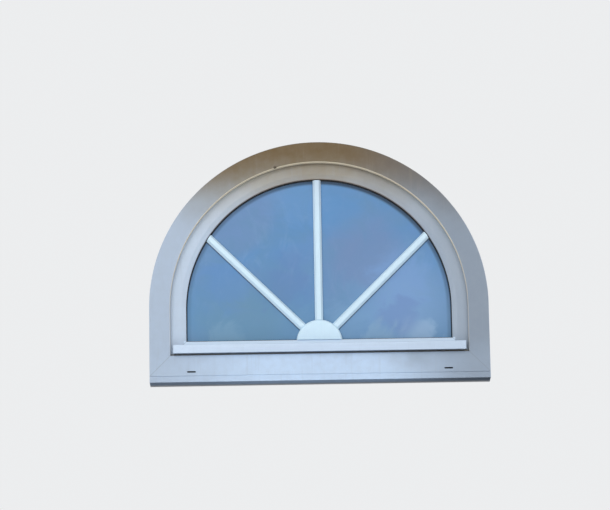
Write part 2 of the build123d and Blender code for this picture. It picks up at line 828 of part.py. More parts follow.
def lock_faceplate():
    """The curved cover strip of the groove, slotted for the cams."""
    mid = (GROOVE_V + GROOVE_BACK) / 2
    r1 = RADIUS - SASH_EDGE
    r0 = r1 - FACEPLATE
    span = FACEPLATE_SPAN / 2
    plate = arc_block(r0, r1, GROOVE_V, GROOVE_BACK, -span, span)
    half = CAM_RADIUS + CAM_SLOT_PLAY
    play = degrees(half / r0)
    for angle in CAM_ANGLES.values():
        a0 = angle - play
        a1 = angle + lock_turn() + play
        plate -= arc_block(r0 - PAST, r1 + PAST, mid - half, mid + half, a0, a1)
    return plate


def striker(angle):
    """A striker on the frame's rebate, with a claw on the room side of the locked cam."""
    r1 = RADIUS - FRAME_REBATE
    r0 = r1 - STRIKER_BASE
    mid = (GROOVE_V + GROOVE_BACK) / 2
    v0 = mid - STRIKER_WIDTH / 2
    v1 = mid + STRIKER_WIDTH / 2
    v_claw = mid + CAM_RADIUS + CLAW_PLAY
    centre = angle + lock_turn() / 2
    locked = angle + lock_turn()
    half_base = degrees(STRIKER_LENGTH / 2 / r1)
    half_claw = degrees(CLAW_LENGTH / 2 / r1)
    base = arc_block(r0, r1, v0, v1, centre - half_base, centre + half_base)
    claw_back = v_claw + CLAW_THICKNESS
    return base + arc_block(r0 - STRIKER_CLAW, r1, v_claw, claw_back, locked - half_claw, locked + half_claw)


def handle_rosette():
    """The handle's cover plate on the sash, lying along the top rail."""
    z = handle_z()
    v1 = SASH_BACK + ROSETTE_DEPTH
    half = ROSETTE_LENGTH / 2
    plate = box(-half, half, SASH_BACK, v1, z - ROSETTE_WIDTH / 2, z + ROSETTE_WIDTH / 2)
    plate = chamfer(plate.edges().filter_by(Axis.Y), ROSETTE_CORNER)
    plate = chamfer(plate.faces().sort_by(Axis.Y)[-1].edges(), ROSETTE_CHAMFER)
    return plate - spindle_hole(SASH_BACK, v1)


def handle_lever():
    """The lever, lying along the top rail when the window is unlocked."""
    z = handle_z()
    v0 = SASH_BACK + ROSETTE_DEPTH + CLEARANCE
    v1 = v0 + LEVER_STANDOFF
    grip = SlotOverall(LEVER_LENGTH, LEVER_WIDTH).face()
    arm = extrude(grip, amount=LEVER_THICKNESS)
    arm = chamfer(arm.edges().group_by(Axis.Z)[-1], LEVER_EDGE)
    arm = arm.rotate(Axis.X, -90)
    arm = Pos((LEVER_LENGTH - LEVER_WIDTH) / 2, y_of(v1), z) * arm
    neck = shaft(NECK_RADIUS, v0, v1 + PAST, 0, z)
    lever = arm + neck
    half = SPINDLE / 2 + SPINDLE_PLAY
    floor = v1 + LEVER_SOCKET + SPINDLE_PLAY
    return lever - box(-half, half, v0 - PAST, floor, z - half, z + half)


def stay_point(reach):
    """Depth and height of a stay's pin at a distance above the hinge axis."""
    return HINGE_AXIS_V - STAY_LEAN * reach, hinge_z() + reach


def stay_radii():
    """Inner and outer X of the stay's arm, beside its pivot plate on the sash's edge."""
    inner = RADIUS - SASH_EDGE + STAY_PLATE + STAY_SIDE_GAP
    return inner, inner + STAY_THICKNESS


def stay_travel():
    """Distances from pivot to stud with the sash closed and at its tilt limit."""
    v_a, z_a = stay_point(STAY_STUD_REACH)
    v_b, z_b = stay_point(STAY_PIVOT_REACH)
    tilt = radians(TILT_LIMIT)
    dv = v_b - HINGE_AXIS_V
    dz = z_b - hinge_z()
    v_open = HINGE_AXIS_V + dv * cos(tilt) + dz * sin(tilt)
    z_open = hinge_z() + dz * cos(tilt) - dv * sin(tilt)
    return hypot(v_b - v_a, z_b - z_a), hypot(v_open - v_a, z_open - z_a)


def stay_arm():
    """The right stay's arm: bored at the sash pivot and slotted for the frame stud."""
    x0, x1 = stay_radii()
    v_b, z_b = stay_point(STAY_PIVOT_REACH)
    near, far = stay_travel()
    near -= STAY_END_PLAY
    far += STAY_END_PLAY
    half = STAY_WIDTH / 2
    slot = STAY_SLOT / 2
    arm = box(x0, x1, v_b - half, v_b + half, z_b - far, z_b)
    arm += rod(half, x0, x1, v_b, z_b)
    arm += rod(half, x0, x1, v_b, z_b - far)
    c0 = x0 - PAST
    c1 = x1 + PAST
    arm -= box(c0, c1, v_b - slot, v_b + slot, z_b - far, z_b - near)
    arm -= rod(slot, c0, c1, v_b, z_b - near)
    arm -= rod(slot, c0, c1, v_b, z_b - far)
    arm -= rod(STAY_PIN_RADIUS + RUNNING, c0, c1, v_b, z_b)
    lean = degrees(atan(STAY_LEAN))
    return arm.rotate(Axis((0, y_of(v_b), z_b), (1, 0, 0)), lean)


def stay_stud():
    """The right stay's headed stud on the frame's rebate."""
    x0, x1 = stay_radii()
    v, z = stay_point(STAY_STUD_REACH)
    head = x0 - STAY_SIDE_GAP
    rebate = RADIUS - FRAME_REBATE
    half = STAY_WIDTH / 2
    stud = box(rebate - STRIKER_BASE, rebate, v - half, v + half, z - STAY_WIDTH, z + STAY_WIDTH)
    stud += rod(STAY_PIN_RADIUS, head, rebate, v, z)
    return stud + hexagon(STAY_HEAD_RADIUS, head - STAY_HEAD, head, v, z)


def stay_pivot():
    """The right stay's pivot plate and pin on the edge of the sash."""
    x0, x1 = stay_radii()
    v, z = stay_point(STAY_PIVOT_REACH)
    sash = RADIUS - SASH_EDGE
    head = x1 + STAY_SIDE_GAP
    v0 = GROOVE_V - STAY_PLATE_MARGIN
    v1 = GROOVE_BACK + STAY_PLATE_MARGIN
    top = z + STAY_WIDTH / 2
    pivot = box(sash, sash + STAY_PLATE, v0, v1, top - STAY_PLATE_HEIGHT, top)
    pivot += rod(STAY_PIN_RADIUS, sash + PAST, head, v, z)
    return pivot + hexagon(STAY_HEAD_RADIUS, head, head + STAY_HEAD, v, z)


def frame_nodes():
    """The fixed frame and all that is fastened to it."""
    nodes = {
        "frame_head": frame_head(),
        "frame_bottom_rail": frame_bottom_rail(),
        "frame_reinforcement": frame_reinforcement(),
        "sill_profile": sill_profile(),
        "frame_gasket": frame_gasket(),
    }
    for name, angle in CAM_ANGLES.items():
        nodes["striker_" + name] = striker(angle)
    nodes["hinge_frame_leaves"] = group(both_sides(hinge_frame_leaf()))
    nodes["hinge_pins"] = group(both_sides(hinge_pin()))
    nodes["stay_studs"] = group(both_sides(stay_stud()))
    return nodes


def glazing_nodes():
    """The sealed unit, its blocks, gaskets, beads and bars."""
    nodes = {
        "outer_pane": pane(OUTER_PANE_V),
        "inner_pane": pane(INNER_PANE_V),
        "pane_spacer": pane_spacer(),
        "cavity_bars": cavity_bars(),
        "setting_blocks": setting_blocks(),
        "outer_glazing_gasket": glazing_gasket(LEG_BACK, OUTER_PANE_V),
        "inner_glazing_gasket": glazing_gasket(GLASS_BACK, BEAD_V),
        "glazing_bead_arch": head(bead_outline()),
        "glazing_bead_bottom": rail(bead_outline()),
        "outer_hub": surface_hub(OUTER_PANE_V, OUTER_PANE_V - HUB_THICKNESS),
        "inner_hub": surface_hub(GLASS_BACK, GLASS_BACK + HUB_THICKNESS),
    }
    for name, angle in BAR_ANGLES.items():
        nodes["outer_bar_" + name] = surface_bar(OUTER_PANE_V, OUTER_PANE_V - BAR_THICKNESS, angle)
        nodes["inner_bar_" + name] = surface_bar(GLASS_BACK, GLASS_BACK + BAR_THICKNESS, angle)
    return nodes


def sash_nodes():
    """The sash profiles and the fittings fastened to them."""
    nodes = {
        "sash_head": sash_head(),
        "sash_bottom_rail": sash_bottom_rail(),
        "sash_reinforcement": sash_reinforcement(),
        "sash_gasket": sash_gasket(),
        "drip_rail": drip_rail(),
        "handle_rosette": handle_rosette(),
        "lock_gearbox": lock_gearbox(),
        "lock_faceplate": lock_faceplate(),
    }
    nodes["drip_rail_cap_right"], nodes["drip_rail_cap_left"] = both_sides(drip_rail_cap())
    nodes["hinge_sash_leaves"] = group(both_sides(hinge_sash_leaf()))
    nodes["stay_pivots"] = group(both_sides(stay_pivot()))
    return nodes


def moving_nodes():
    """The handle with its spindle and pinion, the lock bar with its cams, and the stay arms."""
    nodes = {
        "handle_lever": handle_lever(),
        "handle_spindle": handle_spindle(),
        "gear_pinion": gear_pinion(),
        "lock_bar": lock_bar(),
        "lock_cams": lock_cams(),
    }
    nodes["stay_arm_right"], nodes["stay_arm_left"] = both_sides(stay_arm())
    return nodes


os.makedirs("parts", exist_ok=True)
for name, shape in {**frame_nodes(), **glazing_nodes(), **sash_nodes(), **moving_nodes()}.items():
    export_step(shape, "parts/" + name + ".step")
print("lock bar turn", round(lock_turn(), 4), "ratio", round(PINION_PITCH_RADIUS / rack_radius(), 6))
print("stay travel", [round(d, 2) for d in stay_travel()])
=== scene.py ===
from math import atan2, cos, pi, radians, sin, sqrt, tan
import json

import bmesh
import bpy
from mathutils import Matrix, Vector, geometry


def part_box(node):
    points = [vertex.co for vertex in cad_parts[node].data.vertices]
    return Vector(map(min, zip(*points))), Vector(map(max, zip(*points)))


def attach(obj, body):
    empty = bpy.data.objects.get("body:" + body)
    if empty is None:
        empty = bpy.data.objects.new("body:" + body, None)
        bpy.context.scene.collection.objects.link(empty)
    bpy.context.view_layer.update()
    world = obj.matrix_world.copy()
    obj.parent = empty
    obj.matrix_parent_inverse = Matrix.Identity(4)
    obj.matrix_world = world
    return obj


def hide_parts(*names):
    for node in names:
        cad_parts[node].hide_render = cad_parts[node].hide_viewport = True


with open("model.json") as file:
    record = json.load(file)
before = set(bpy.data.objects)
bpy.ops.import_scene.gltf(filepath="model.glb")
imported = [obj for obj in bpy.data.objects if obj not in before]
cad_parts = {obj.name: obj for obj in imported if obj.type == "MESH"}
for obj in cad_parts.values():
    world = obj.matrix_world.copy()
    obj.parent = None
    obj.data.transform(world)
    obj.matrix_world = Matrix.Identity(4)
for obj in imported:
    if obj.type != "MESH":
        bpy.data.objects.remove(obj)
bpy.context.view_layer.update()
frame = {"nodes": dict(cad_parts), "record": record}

# Sizes are millimetres in the object's frame, and meshes are written in metres.
MM = 0.001
CLEARANCE = 0.3

# How meshes are finished: the distance in metres at which corners merge, the angle from
# which an edge stays sharp, and the weight of large faces in the shading
MERGE_DISTANCE = 1e-6
SHARP_ANGLE = radians(32)
NORMALS_WEIGHT = 90


def low(node):
    """A node's lowest corner in millimetres."""
    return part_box(node)[0] / MM


def high(node):
    """A node's highest corner in millimetres."""
    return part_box(node)[1] / MM


def span(node):
    """A node's lowest and highest corners in millimetres."""
    return low(node), high(node)


# Places read from the frame. A section is drawn in u, inwards from the frame's outer
# edge, and v, inwards from the weather face.
RADIUS = high("frame_head").x
SPRING_Z = high("frame_head").z - RADIUS
BASE_Z = low("frame_bottom_rail").z
FRONT_Y = low("frame_head").y
FRAME_DEPTH = high("frame_head").y - FRONT_Y
FLANGE_EDGE = RADIUS - high("sash_head").x
SASH_V = low("sash_head").y - FRONT_Y
SASH_BACK = high("sash_head").y - FRONT_Y
FLANGE_V = high("sash_gasket").y - FRONT_Y
GLAZING_BASE = RADIUS - high("glazing_bead_arch").x
OUTER_PANE_V = low("outer_pane").y - FRONT_Y
GLASS_BACK = high("inner_pane").y - FRONT_Y
DAYLIGHT = RADIUS - (high("outer_bar_centre").z - SPRING_Z) - CLEARANCE
HUB_RADIUS = high("outer_hub").x
RAIL_END = high("drip_rail_cap_right").x

# Section details
FRAME_FACE = 68.0
FRAME_REBATE = 45.0
LIP_DEPTH = 16.0
LIP_ROUND = 2.0
EDGE_ROUND = 0.8
CORNER_ROUND = 0.4
WALL = 3.0
OUTER_WALL = 4.0
STEEL_V = 19.0
STEEL_ROOM = 26.0
EDGE_GAP = 12.0
OVERLAP = 8.0
GROOVE_OFFSET = 17.0
GROOVE_WIDTH = 16.0
GROOVE_DEPTH = 12.0
GLAZING_LEG = 14.0
GLAZING_REBATE = 20.0
LEG_SLOPE_RUN = 15.0
LEG_SLOPE_DROP = 7.0
LEG_BEND = 14.0
LEG_ROUND = 1.6
BEAD_SLOPE = 9.0
GASKET = 3.0
GASKET_ROUND = 1.0
SEAL_WIDTH = 6.0
SEAL_SETBACK = 1.0
SEAL_FLARE = 1.0
SEAL_ROOT_ROUND = 0.3
SEAL_TIP_ROUND = 0.6
BAR_WIDTH = 26.0
BAR_CREST = 13.0
BAR_SHOULDER = 4.0
BAR_FOOT_ROUND = 0.2
BAR_SHOULDER_ROUND = 0.7
BAR_CREST_ROUND = 1.2
HUB_DROP = 8.0
HUB_BEVEL = 4.0
HUB_ROUND = 1.4
HUB_FOOT_ROUND = 0.3
RAIL_CAP = 2.0
CAP_ROUND = 0.7
RAIL_NOSE = 4.0
RAIL_WALL = 3.0
RAIL_TOP_WALL = 4.2
RAIL_SLOPE = 6.0
RAIL_LEAN = 2.0
RAIL_BAND = 10.0
RAIL_ROUND = 2.6
RAIL_BACK_ROUND = 0.3
RAIL_CREASE_ROUND = 0.6
RAIL_FOOT_ROUND = 0.9
RAIL_THROAT_ROUND = 0.5
SILL_WALL = 2.5
SILL_FOOT_ROUND = 0.6
SILL_NOSE_ROUND = 1.0
SILL_END_BEVEL = 0.4
SILL_END_INSET = 0.3
WEEP_X = 415.0
WEEP_HEIGHT = 13.0
WEEP_LENGTH = 28.0
WEEP_WIDTH = 5.0
INNER_WEEP_X = 330.0
FIXING_X = 250.0
FIXING_RADIUS = 3.1
SPINDLE_HOLE = 12.0
WELD_DEPTH = 0.35
WELD_WIDTH = 2.2
CHIP_ANGLE = radians(-16.2)
CHIP_OUT = 3.0
CHIP_WIDTH = 4.0
CHIP_HEIGHT = 3.0
CHIP_DEPTH = 3.0
ARCH_STEPS = 112
HUB_STEPS = 128

# How far a cutter stands past what it cuts, and how far it keeps off a face that it follows
OVERCUT = 2.0
HAIR = 0.01

SASH_EDGE = FLANGE_EDGE + OVERLAP + EDGE_GAP
SIGHT = GLAZING_BASE + GLAZING_REBATE
LEG_BACK = SASH_V + GLAZING_LEG
BEAD_V = GLASS_BACK + GASKET
GROOVE_V = SASH_V + GROOVE_OFFSET
GROOVE_BACK = GROOVE_V + GROOVE_WIDTH
GROOVE_FLOOR = SASH_EDGE + GROOVE_DEPTH
HUB_Z = BASE_Z + SIGHT - HUB_DROP
STEEL_BOX = (OUTER_WALL, STEEL_V, FRAME_REBATE - OUTER_WALL, STEEL_V + STEEL_ROOM)
HANDLE_Z = (low("handle_spindle").z + high("handle_spindle").z) / 2

# Places that the finishes follow, in metres: the arch's edges as radii, depths as Y, the gap
# under the weather rail, the slope at the glass's foot and the drained chamber
EDGE_R = RADIUS * MM
LIP_R = (RADIUS - FRAME_FACE) * MM
SIGHT_R = (RADIUS - SIGHT) * MM
LIGHT_R = (RADIUS - DAYLIGHT) * MM
LIP_Y = (FRONT_Y + LIP_DEPTH) * MM
LEG_Y = (FRONT_Y + LEG_BACK) * MM
PANE_Y = (FRONT_Y + OUTER_PANE_V) * MM
INNER_PANE_Y = (FRONT_Y + GLASS_BACK) * MM
MITRE = (RADIUS + BASE_Z) * MM
HUB_PLACE = (0.0, PANE_Y, HUB_Z * MM)
GAP_LOW = (BASE_Z + FRAME_FACE) * MM
GAP_TOP = (low("drip_rail").z + 6.0) * MM
GAP_Y = (FRONT_Y + LIP_DEPTH - 3.0) * MM
LEG_LOW = (BASE_Z + SIGHT - LEG_SLOPE_RUN) * MM
LEG_TOP = (BASE_Z + SIGHT) * MM
LEG_X = (RADIUS - SIGHT + 6.0) * MM
DRAIN_Y = (FRONT_Y + 0.8) * MM
DRAIN_LOW = (BASE_Z + 2.0) * MM
DRAIN_TOP = (BASE_Z + FRAME_FACE - 2.0) * MM


def y_of(v):
    """The Y of a section depth."""
    return FRONT_Y + v


def arch_point(r, y, angle):
    """A point at a radius from the arch's centre, at an angle from the crown."""
    return sin(angle) * r, y, SPRING_Z + cos(angle) * r


CHIP_X, _, CHIP_Z = arch_point(RADIUS - FRAME_FACE + CHIP_OUT, FRONT_Y, CHIP_ANGLE)
CHIP_PLACE = (CHIP_X * MM, FRONT_Y * MM, CHIP_Z * MM)


def srgb(r, g, b):
    """A colour given as 0 to 255 screen values, in the linear values that shaders take."""
    linear = [((c / 255 + 0.055) / 1.055) ** 2.4 for c in (r, g, b)]
    return (*linear, 1.0)


# Outlines


def rounded(corners, steps=5):
    """A closed outline from corners given as (a, b, radius), each turned into an arc."""
    points = []
    for i, (a, b, radius) in enumerate(corners):
        here = Vector((a, b))
        back = Vector(corners[i - 1][:2]) - here
        ahead = Vector(corners[(i + 1) % len(corners)][:2]) - here
        half = back.angle(ahead) / 2
        reach = min(radius / tan(half), 0.45 * back.length, 0.45 * ahead.length)
        radius = reach * tan(half)
        if radius < 0.02:
            points.append(here)
            continue
        back.normalize()
        ahead.normalize()
        centre = here + (back + ahead).normalized() * radius / sin(half)
        start = here + back * reach - centre
        end = here + ahead * reach - centre
        for k in range(steps + 1):
            ray = start.lerp(end, k / steps)
            points.append(centre + ray.normalized() * radius)
    return points


def rectangle(u0, v0, u1, v1):
    """An outline with sharp corners."""
    return [Vector((u0, v0)), Vector((u1, v0)), Vector((u1, v1)), Vector((u0, v1))]


def circle(radius, count):
    """A round outline."""
    turns = [2 * pi * k / count for k in range(count)]
    return [Vector((cos(t) * radius, sin(t) * radius)) for t in turns]


def superellipse(width, height, power, count):
    """A rounded outline between an ellipse and a rectangle."""
    points = []
    for p in circle(1.0, count):
        x = abs(p.x) ** (2 / power) * (1 if p.x >= 0 else -1) * width / 2
        y = abs(p.y) ** (2 / power) * (1 if p.y >= 0 else -1) * height / 2
        points.append(Vector((x, y)))
    return points


def area_of(ring):
    """Signed area of a closed outline."""
    total = 0.0
    for p, q in zip(ring, ring[1:] + ring[:1]):
        total += p.x * q.y - q.x * p.y
    return total / 2


def inset(ring, depth):
    """A closed outline moved inwards by a small depth."""
    turn = 1 if area_of(ring) > 0 else -1
    moved = []
    for i, p in enumerate(ring):
        along = (ring[(i + 1) % len(ring)] - ring[i - 1]).normalized()
        moved.append(p + Vector((-along.y, along.x)) * turn * depth)
    return moved


# Shapes, each as its vertices and faces


def swept(rings, stations, closed=False):
    """Rings carried through stations, each a place and an inset."""
    vertices, faces = [], []
    for place, depth in stations:
        for ring in rings:
            here = inset(ring, depth) if depth and ring is rings[0] else ring
            vertices += [place(p.x, p.y) for p in here]
    count = sum(len(ring) for ring in rings)
    spans = len(stations) if closed else len(stations) - 1
    for s in range(spans):
        near = s * count
        far = (s + 1) % len(stations) * count
        start = 0
        for ring in rings:
            for i in range(len(ring)):
                a = start + i
                b = start + (i + 1) % len(ring)
                faces.append((near + a, near + b, far + b, far + a))
            start += len(ring)
    if not closed:
        flat = [[Vector((p.x, p.y, 0)) for p in ring] for ring in rings]
        last = (len(stations) - 1) * count
        for a, b, c in geometry.tessellate_polygon(flat):
            faces.append((a, b, c))
            faces.append((last + a, last + b, last + c))
    return vertices, faces


def prism(outline, place, depths):
    """A closed solid from an outline swept straight between places, each with an inset."""
    stations = [(lambda a, b, d=d: place(a, b, d), depth) for d, depth in depths]
    return swept([outline], stations)


def through(outline, y0, y1):
    """A cutter along Y from an outline in X and Z."""
    return prism(outline, lambda x, z, y: (x, y, z), [(y0, 0.0), (y1, 0.0)])


def block(x0, x1, y0, y1, z0, z1):
    """A plain cutter between two corners."""
    return through(rectangle(x0, z0, x1, z1), y0, y1)


def revolved(profile, steps, place):
    """A profile of radius and height turned about its axis, from a point to a point on it."""
    count = len(profile)
    vertices, faces = [], []
    for k in range(steps):
        t = 2 * pi * k / steps
        vertices += [place(cos(t) * p.x, sin(t) * p.x, p.y) for p in profile]
        after = (k + 1) % steps
        for i in range(count - 1):
            corners = [k * count + i, after * count + i, after * count + i + 1, k * count + i + 1]
            if i == 0:
                corners.pop(1)
            elif i == count - 2:
                corners.pop(2)
            faces.append(tuple(corners))
    return vertices, faces


def lofted(rings):
    """A closed tube through rings of equal count, with flat ends."""
    count = len(rings[0])
    vertices = [p for ring in rings for p in ring]
    last = len(vertices) - count
    faces = [tuple(range(count)), tuple(range(last, last + count))]
    for start in range(0, last, count):
        for i in range(count):
            a = start + i
            b = start + (i + 1) % count
            faces.append((a, b, b + count, a + count))
    return vertices, faces


def joined(shapes):
    """Several shapes as one."""
    vertices, faces = [], []
    for more_vertices, more_faces in shapes:
        start = len(vertices)
        vertices += more_vertices
        faces += [tuple(start + i for i in face) for face in more_faces]
    return vertices, faces


# Meshes and objects


def mesh_of(name, vertices, faces):
    """A shape's mesh in metres, with its faces turned outwards."""
    mesh = bpy.data.meshes.new(name)
    mesh.from_pydata([Vector(p) * MM for p in vertices], [], faces)
    bm = bmesh.new()
    bm.from_mesh(mesh)
    bmesh.ops.remove_doubles(bm, verts=bm.verts, dist=MERGE_DISTANCE)
    bmesh.ops.recalc_face_normals(bm, faces=bm.faces)
    bm.to_mesh(mesh)
    bm.free()
    return mesh


def placed(name, data):
    """A new object in the scene."""
    obj = bpy.data.objects.new(name, data)
    bpy.context.scene.collection.objects.link(obj)
    return obj


def cut(shape, *cutters):
    """A shape's mesh with closed cutters taken away from it."""
    body = placed("blank", mesh_of("blank", *shape))
    tool = placed("cutter", mesh_of("cutter", *joined(cutters)))
    boolean = body.modifiers.new("cut", "BOOLEAN")
    boolean.operation = "DIFFERENCE"
    boolean.solver = "EXACT"
    boolean.object = tool
    bpy.context.view_layer.update()
    evaluated = body.evaluated_get(bpy.context.evaluated_depsgraph_get())
    result = bpy.data.meshes.new_from_object(evaluated)
    bpy.data.objects.remove(body)
    bpy.data.objects.remove(tool)
    return result


def dress(name, mesh, body, slot, *nodes):
    """An object for a mesh, with its shading, its finish and its place in the assembly."""
    obj = placed(name, mesh)
    finish = FRAME_FINISHES.get(slot) if body == "frame" else None
    mesh.materials.clear()
    mesh.materials.append(finish or FINISHES[slot])
    mesh.shade_smooth()
    mesh.set_sharp_from_angle(angle=SHARP_ANGLE)
    normals = obj.modifiers.new("normals", "WEIGHTED_NORMAL")
    normals.keep_sharp = True
    normals.weight = NORMALS_WEIGHT
    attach(obj, body)
    if nodes:
        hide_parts(*nodes)


def piece(name, shape, body, slot, *nodes):
    """A finished piece of the object from a shape."""
    dress(name, mesh_of(name, *shape), body, slot, *nodes)


# Stations


def on_arch(angle):
    """A place on the arch, at an angle from the crown."""
    return lambda u, v: arch_point(RADIUS - u, y_of(v), angle)


def at_corner(side, lift=0.0, shift=0.0):
    """A place on the mitre of one bottom corner, moved up the leg or along the rail."""
    return lambda u, v: (side * (RADIUS - u - shift), y_of(v), BASE_Z + u + lift)


def along_x(ends):
    """Stations for an outline in Y and Z, each an X and an inset."""
    return [(lambda y, z, x=x: (x, y, z), depth) for x, depth in ends]


def arch_stations():
    """The stations over the arch, from the left springing to the right."""
    steps = [-pi / 2 + pi * k / ARCH_STEPS for k in range(ARCH_STEPS + 1)]
    return [(on_arch(angle), 0.0) for angle in steps]


def welded(middle, **move):
    """Stations between both mitres, with the shallow groove of a weld at each end."""
    left = [(at_corner(-1), WELD_DEPTH), (at_corner(-1, **move), 0.0)]
    right = [(at_corner(1, **move), 0.0), (at_corner(1), WELD_DEPTH)]
    return left + middle + right


def head_stations():
    """An arched profile with its two legs."""
    return welded(arch_stations(), lift=WELD_WIDTH)


def rail_stations():
    """A straight bottom profile."""
    return welded([], shift=WELD_WIDTH)


def ring_stations():
    """A strip run all the way round."""
    return arch_stations() + [(at_corner(1), 0.0), (at_corner(-1), 0.0)]


# Materials


class Graph:
    """A node tree under construction."""

    def __init__(self, tree):
        self.tree = tree

    def feed(self, value, socket):
        """Gives a socket a constant or another node's output."""
        if isinstance(value, (int, float, tuple)):
            socket.default_value = value
        else:
            self.tree.links.new(value, socket)

    def fill(self, node, **values):
        """Feeds a node's sockets by name."""
        for key, value in values.items():
            self.feed(value, node.inputs[key.replace("_", " ")])

    def node(self, kind, *inputs, **settings):
        """A new node with its settings, and its first sockets fed in order."""
        made = self.tree.nodes.new(kind)
        for key, value in settings.items():
            setattr(made, key, value)
        for value, socket in zip(inputs, made.inputs):
            self.feed(value, socket)
        return made

    def maths(self, kind, first, second=0.0):
        """Arithmetic on two values, or on the first alone."""
        return self.node("ShaderNodeMath", first, second, operation=kind).outputs[0]

    def mixed(self, share, first, second):
        """Two shaders mixed by a share."""
        return self.node("ShaderNodeMixShader", share, first.outputs[0], second.outputs[0]).outputs[0]


class Finish(Graph):
    """A material under construction, with its shader and the object's own coordinates."""

    def __init__(self, name):
        self.material = bpy.data.materials.new(name)
        self.material.use_nodes = True
        super().__init__(self.material.node_tree)
        self.shader = self.tree.nodes["Principled BSDF"]
        self.place = self.node("ShaderNodeTexCoord").outputs["Object"]

    def surface(self, **values):
        """Feeds the shader's sockets by name, with constants or outputs."""
        self.fill(self.shader, **values)

    def axes(self):
        """The coordinates as three values."""
        return self.node("ShaderNodeSeparateXYZ", self.place).outputs

    def stretched(self, x, y, z):
        """The coordinates scaled, so that a pattern is drawn out along an axis."""
        made = self.node("ShaderNodeMapping", self.place)
        self.fill(made, Scale=(x, y, z))
        return made.outputs["Vector"]

    def distance(self, *point):
        """The distance from a point."""
        made = self.node("ShaderNodeVectorMath", self.place, point, operation="DISTANCE")
        return made.outputs["Value"]

    def noise(self, scale, detail=3.0, roughness=0.55, vector=None, distortion=0.0):
        """A noise value from 0 to 1."""
        made = self.node("ShaderNodeTexNoise", vector or self.place)
        self.fill(made, Scale=scale, Detail=detail, Roughness=roughness, Distortion=distortion)
        return made.outputs["Fac"]

    def spread(self, value, low_in, high_in, low_out=0.0, high_out=1.0, smooth=False):
        """A value mapped from one range to another and clamped."""
        made = self.node("ShaderNodeMapRange", value, low_in, high_in, low_out, high_out)
        made.interpolation_type = "SMOOTHSTEP" if smooth else "LINEAR"
        return made.outputs["Result"]

    def above(self, value, start, fade):
        """0 up to a start, and 1 from a fade past it."""
        return self.spread(value, start, start + fade)

    def below(self, value, end, fade):
        """0 from an end on, and 1 up to a fade before it."""
        return self.spread(value, end, end - fade)

    def varied(self, scale, detail, low_out, high_out):
        """A value that wanders between two limits."""
        return self.spread(self.noise(scale, detail), 0.3, 0.7, low_out, high_out)

    def product(self, *shares):
        """Shares multiplied together."""
        total = shares[0]
        for share in shares[1:]:
            total = self.maths("MULTIPLY", total, share)
        return total

    def blend(self, share, first, second):
        """Two colours mixed by a share, each given as screen values or as an output."""
        made = self.node("ShaderNodeMix", share, data_type="RGBA")
        for colour, socket in ((first, made.inputs[6]), (second, made.inputs[7])):
            self.feed(srgb(*colour) if isinstance(colour, tuple) else colour, socket)
        return made.outputs[2]

    def arch_reach(self, x, z):
        """The distance from the arch's centre, or from the middle line below the springing."""
        rise = self.maths("MAXIMUM", self.maths("SUBTRACT", z, SPRING_Z * MM), 0.0)
        squares = self.maths("ADD", self.product(x, x), self.product(rise, rise))
        return self.maths("SQRT", squares)

    def bump(self, height, strength, distance):
        """Small relief from a height value."""
        made = self.node("ShaderNodeBump")
        self.fill(made, Strength=strength, Distance=distance, Height=height)
        self.surface(Normal=made.outputs["Normal"])


# Dirt, painted shade and painted highlights on the plastic, and its room-side white, as screen values
OLD_DIRT = (134, 120, 96)
RIGHT_SHADE_COLOUR = (104, 114, 126)
SPECKS = (120, 118, 112)
GAP_SHADE_AND_DIRT = (150, 138, 114)
LEG_DIRT = (126, 96, 70)
DRAIN_SHADE = (52, 56, 58)
WELD_DIRT = (118, 124, 130)
CHIP_DIRT_AND_SHADE = (84, 72, 54)
TAPE_AND_SHADE = (70, 82, 94)
ROOM_WHITE = (224, 227, 230)
LIP_HIGHLIGHT = (230, 218, 192)
SLOPE_LIGHT = (214, 232, 250)


class Plastic(Finish):
    """White plastic: on the weather side its white as seen under blue sky light, painted in, with
    dirt and painted light and shade; on the room side plain white.
    """

    def __init__(self, name, base, room):
        super().__init__(name)
        self.x, self.y, self.z = self.axes()
        self.beside = self.maths("ABSOLUTE", self.x)
        self.reach = self.arch_reach(self.x, self.z)
        self.outside = self.spread(self.y, -0.004, 0.022, 1.0, 0.0)
        face = self.spread(self.reach, EDGE_R - 1.2 * MM, EDGE_R - 0.4 * MM, 1.0, 0.3)
        self.exposed = self.product(self.outside, face)
        self.height = self.maths("ADD", self.z, self.varied(5.0, 4.0, -0.04, 0.04))
        # The weather-side colour is the white as it looks under blue sky light outdoors, a painted
        # tint of light and shade; the room-side colour is the plain white
        self.body = self.blend(self.spread(self.y, 0.004, 0.022), base, room)

    def lay(self, colour, *shares):
        """A layer of colour over those before it, where all its shares meet."""
        self.body = self.blend(self.product(*shares), self.body, colour)


def crown_shade_and_dirt(f, crown, grime_and_shade, right_shade):
    """Painted shade with dust towards the crown, painted shade with grime higher up and on the outer
    ring, and painted shade to the right. Gives the share of the grime and shade.
    """
    f.lay(crown, f.spread(f.height, 0.48, 0.76, smooth=True), f.exposed)
    # Grime and shade reach lower on the frame's outer ring and on the right: painted shade
    level = f.maths("ADD", f.z, f.varied(7.0, 5.0, -0.012, 0.012))
    level = f.maths("ADD", level, f.spread(f.reach, LIP_R, EDGE_R, 0.0, 0.05))
    level = f.maths("ADD", level, f.spread(f.x, 0.05, 0.36, 0.0, 0.07))
    grime_shade_share = f.product(f.spread(level, 0.62, 0.82, 0.0, 0.92, smooth=True), f.exposed)
    f.lay(grime_and_shade, grime_shade_share)
    # Painted shade that deepens to the right
    side = f.maths("ADD", f.x, f.varied(6.0, 4.0, -0.03, 0.03))
    f.lay(RIGHT_SHADE_COLOUR, f.spread(side, 0.02, 0.44, 0.0, right_shade, smooth=True), f.exposed)
    return grime_shade_share


def painted_low_light(f, low_light):
    """Lighter plastic low down, most in the middle and fading towards the corners: painted light."""
    foot = f.spread(f.height, 0.15, 0.05, smooth=True)
    middle = f.spread(f.beside, 0.15, 0.52, 1.0, 0.15, smooth=True)
    f.lay(low_light, foot, f.outside, middle)


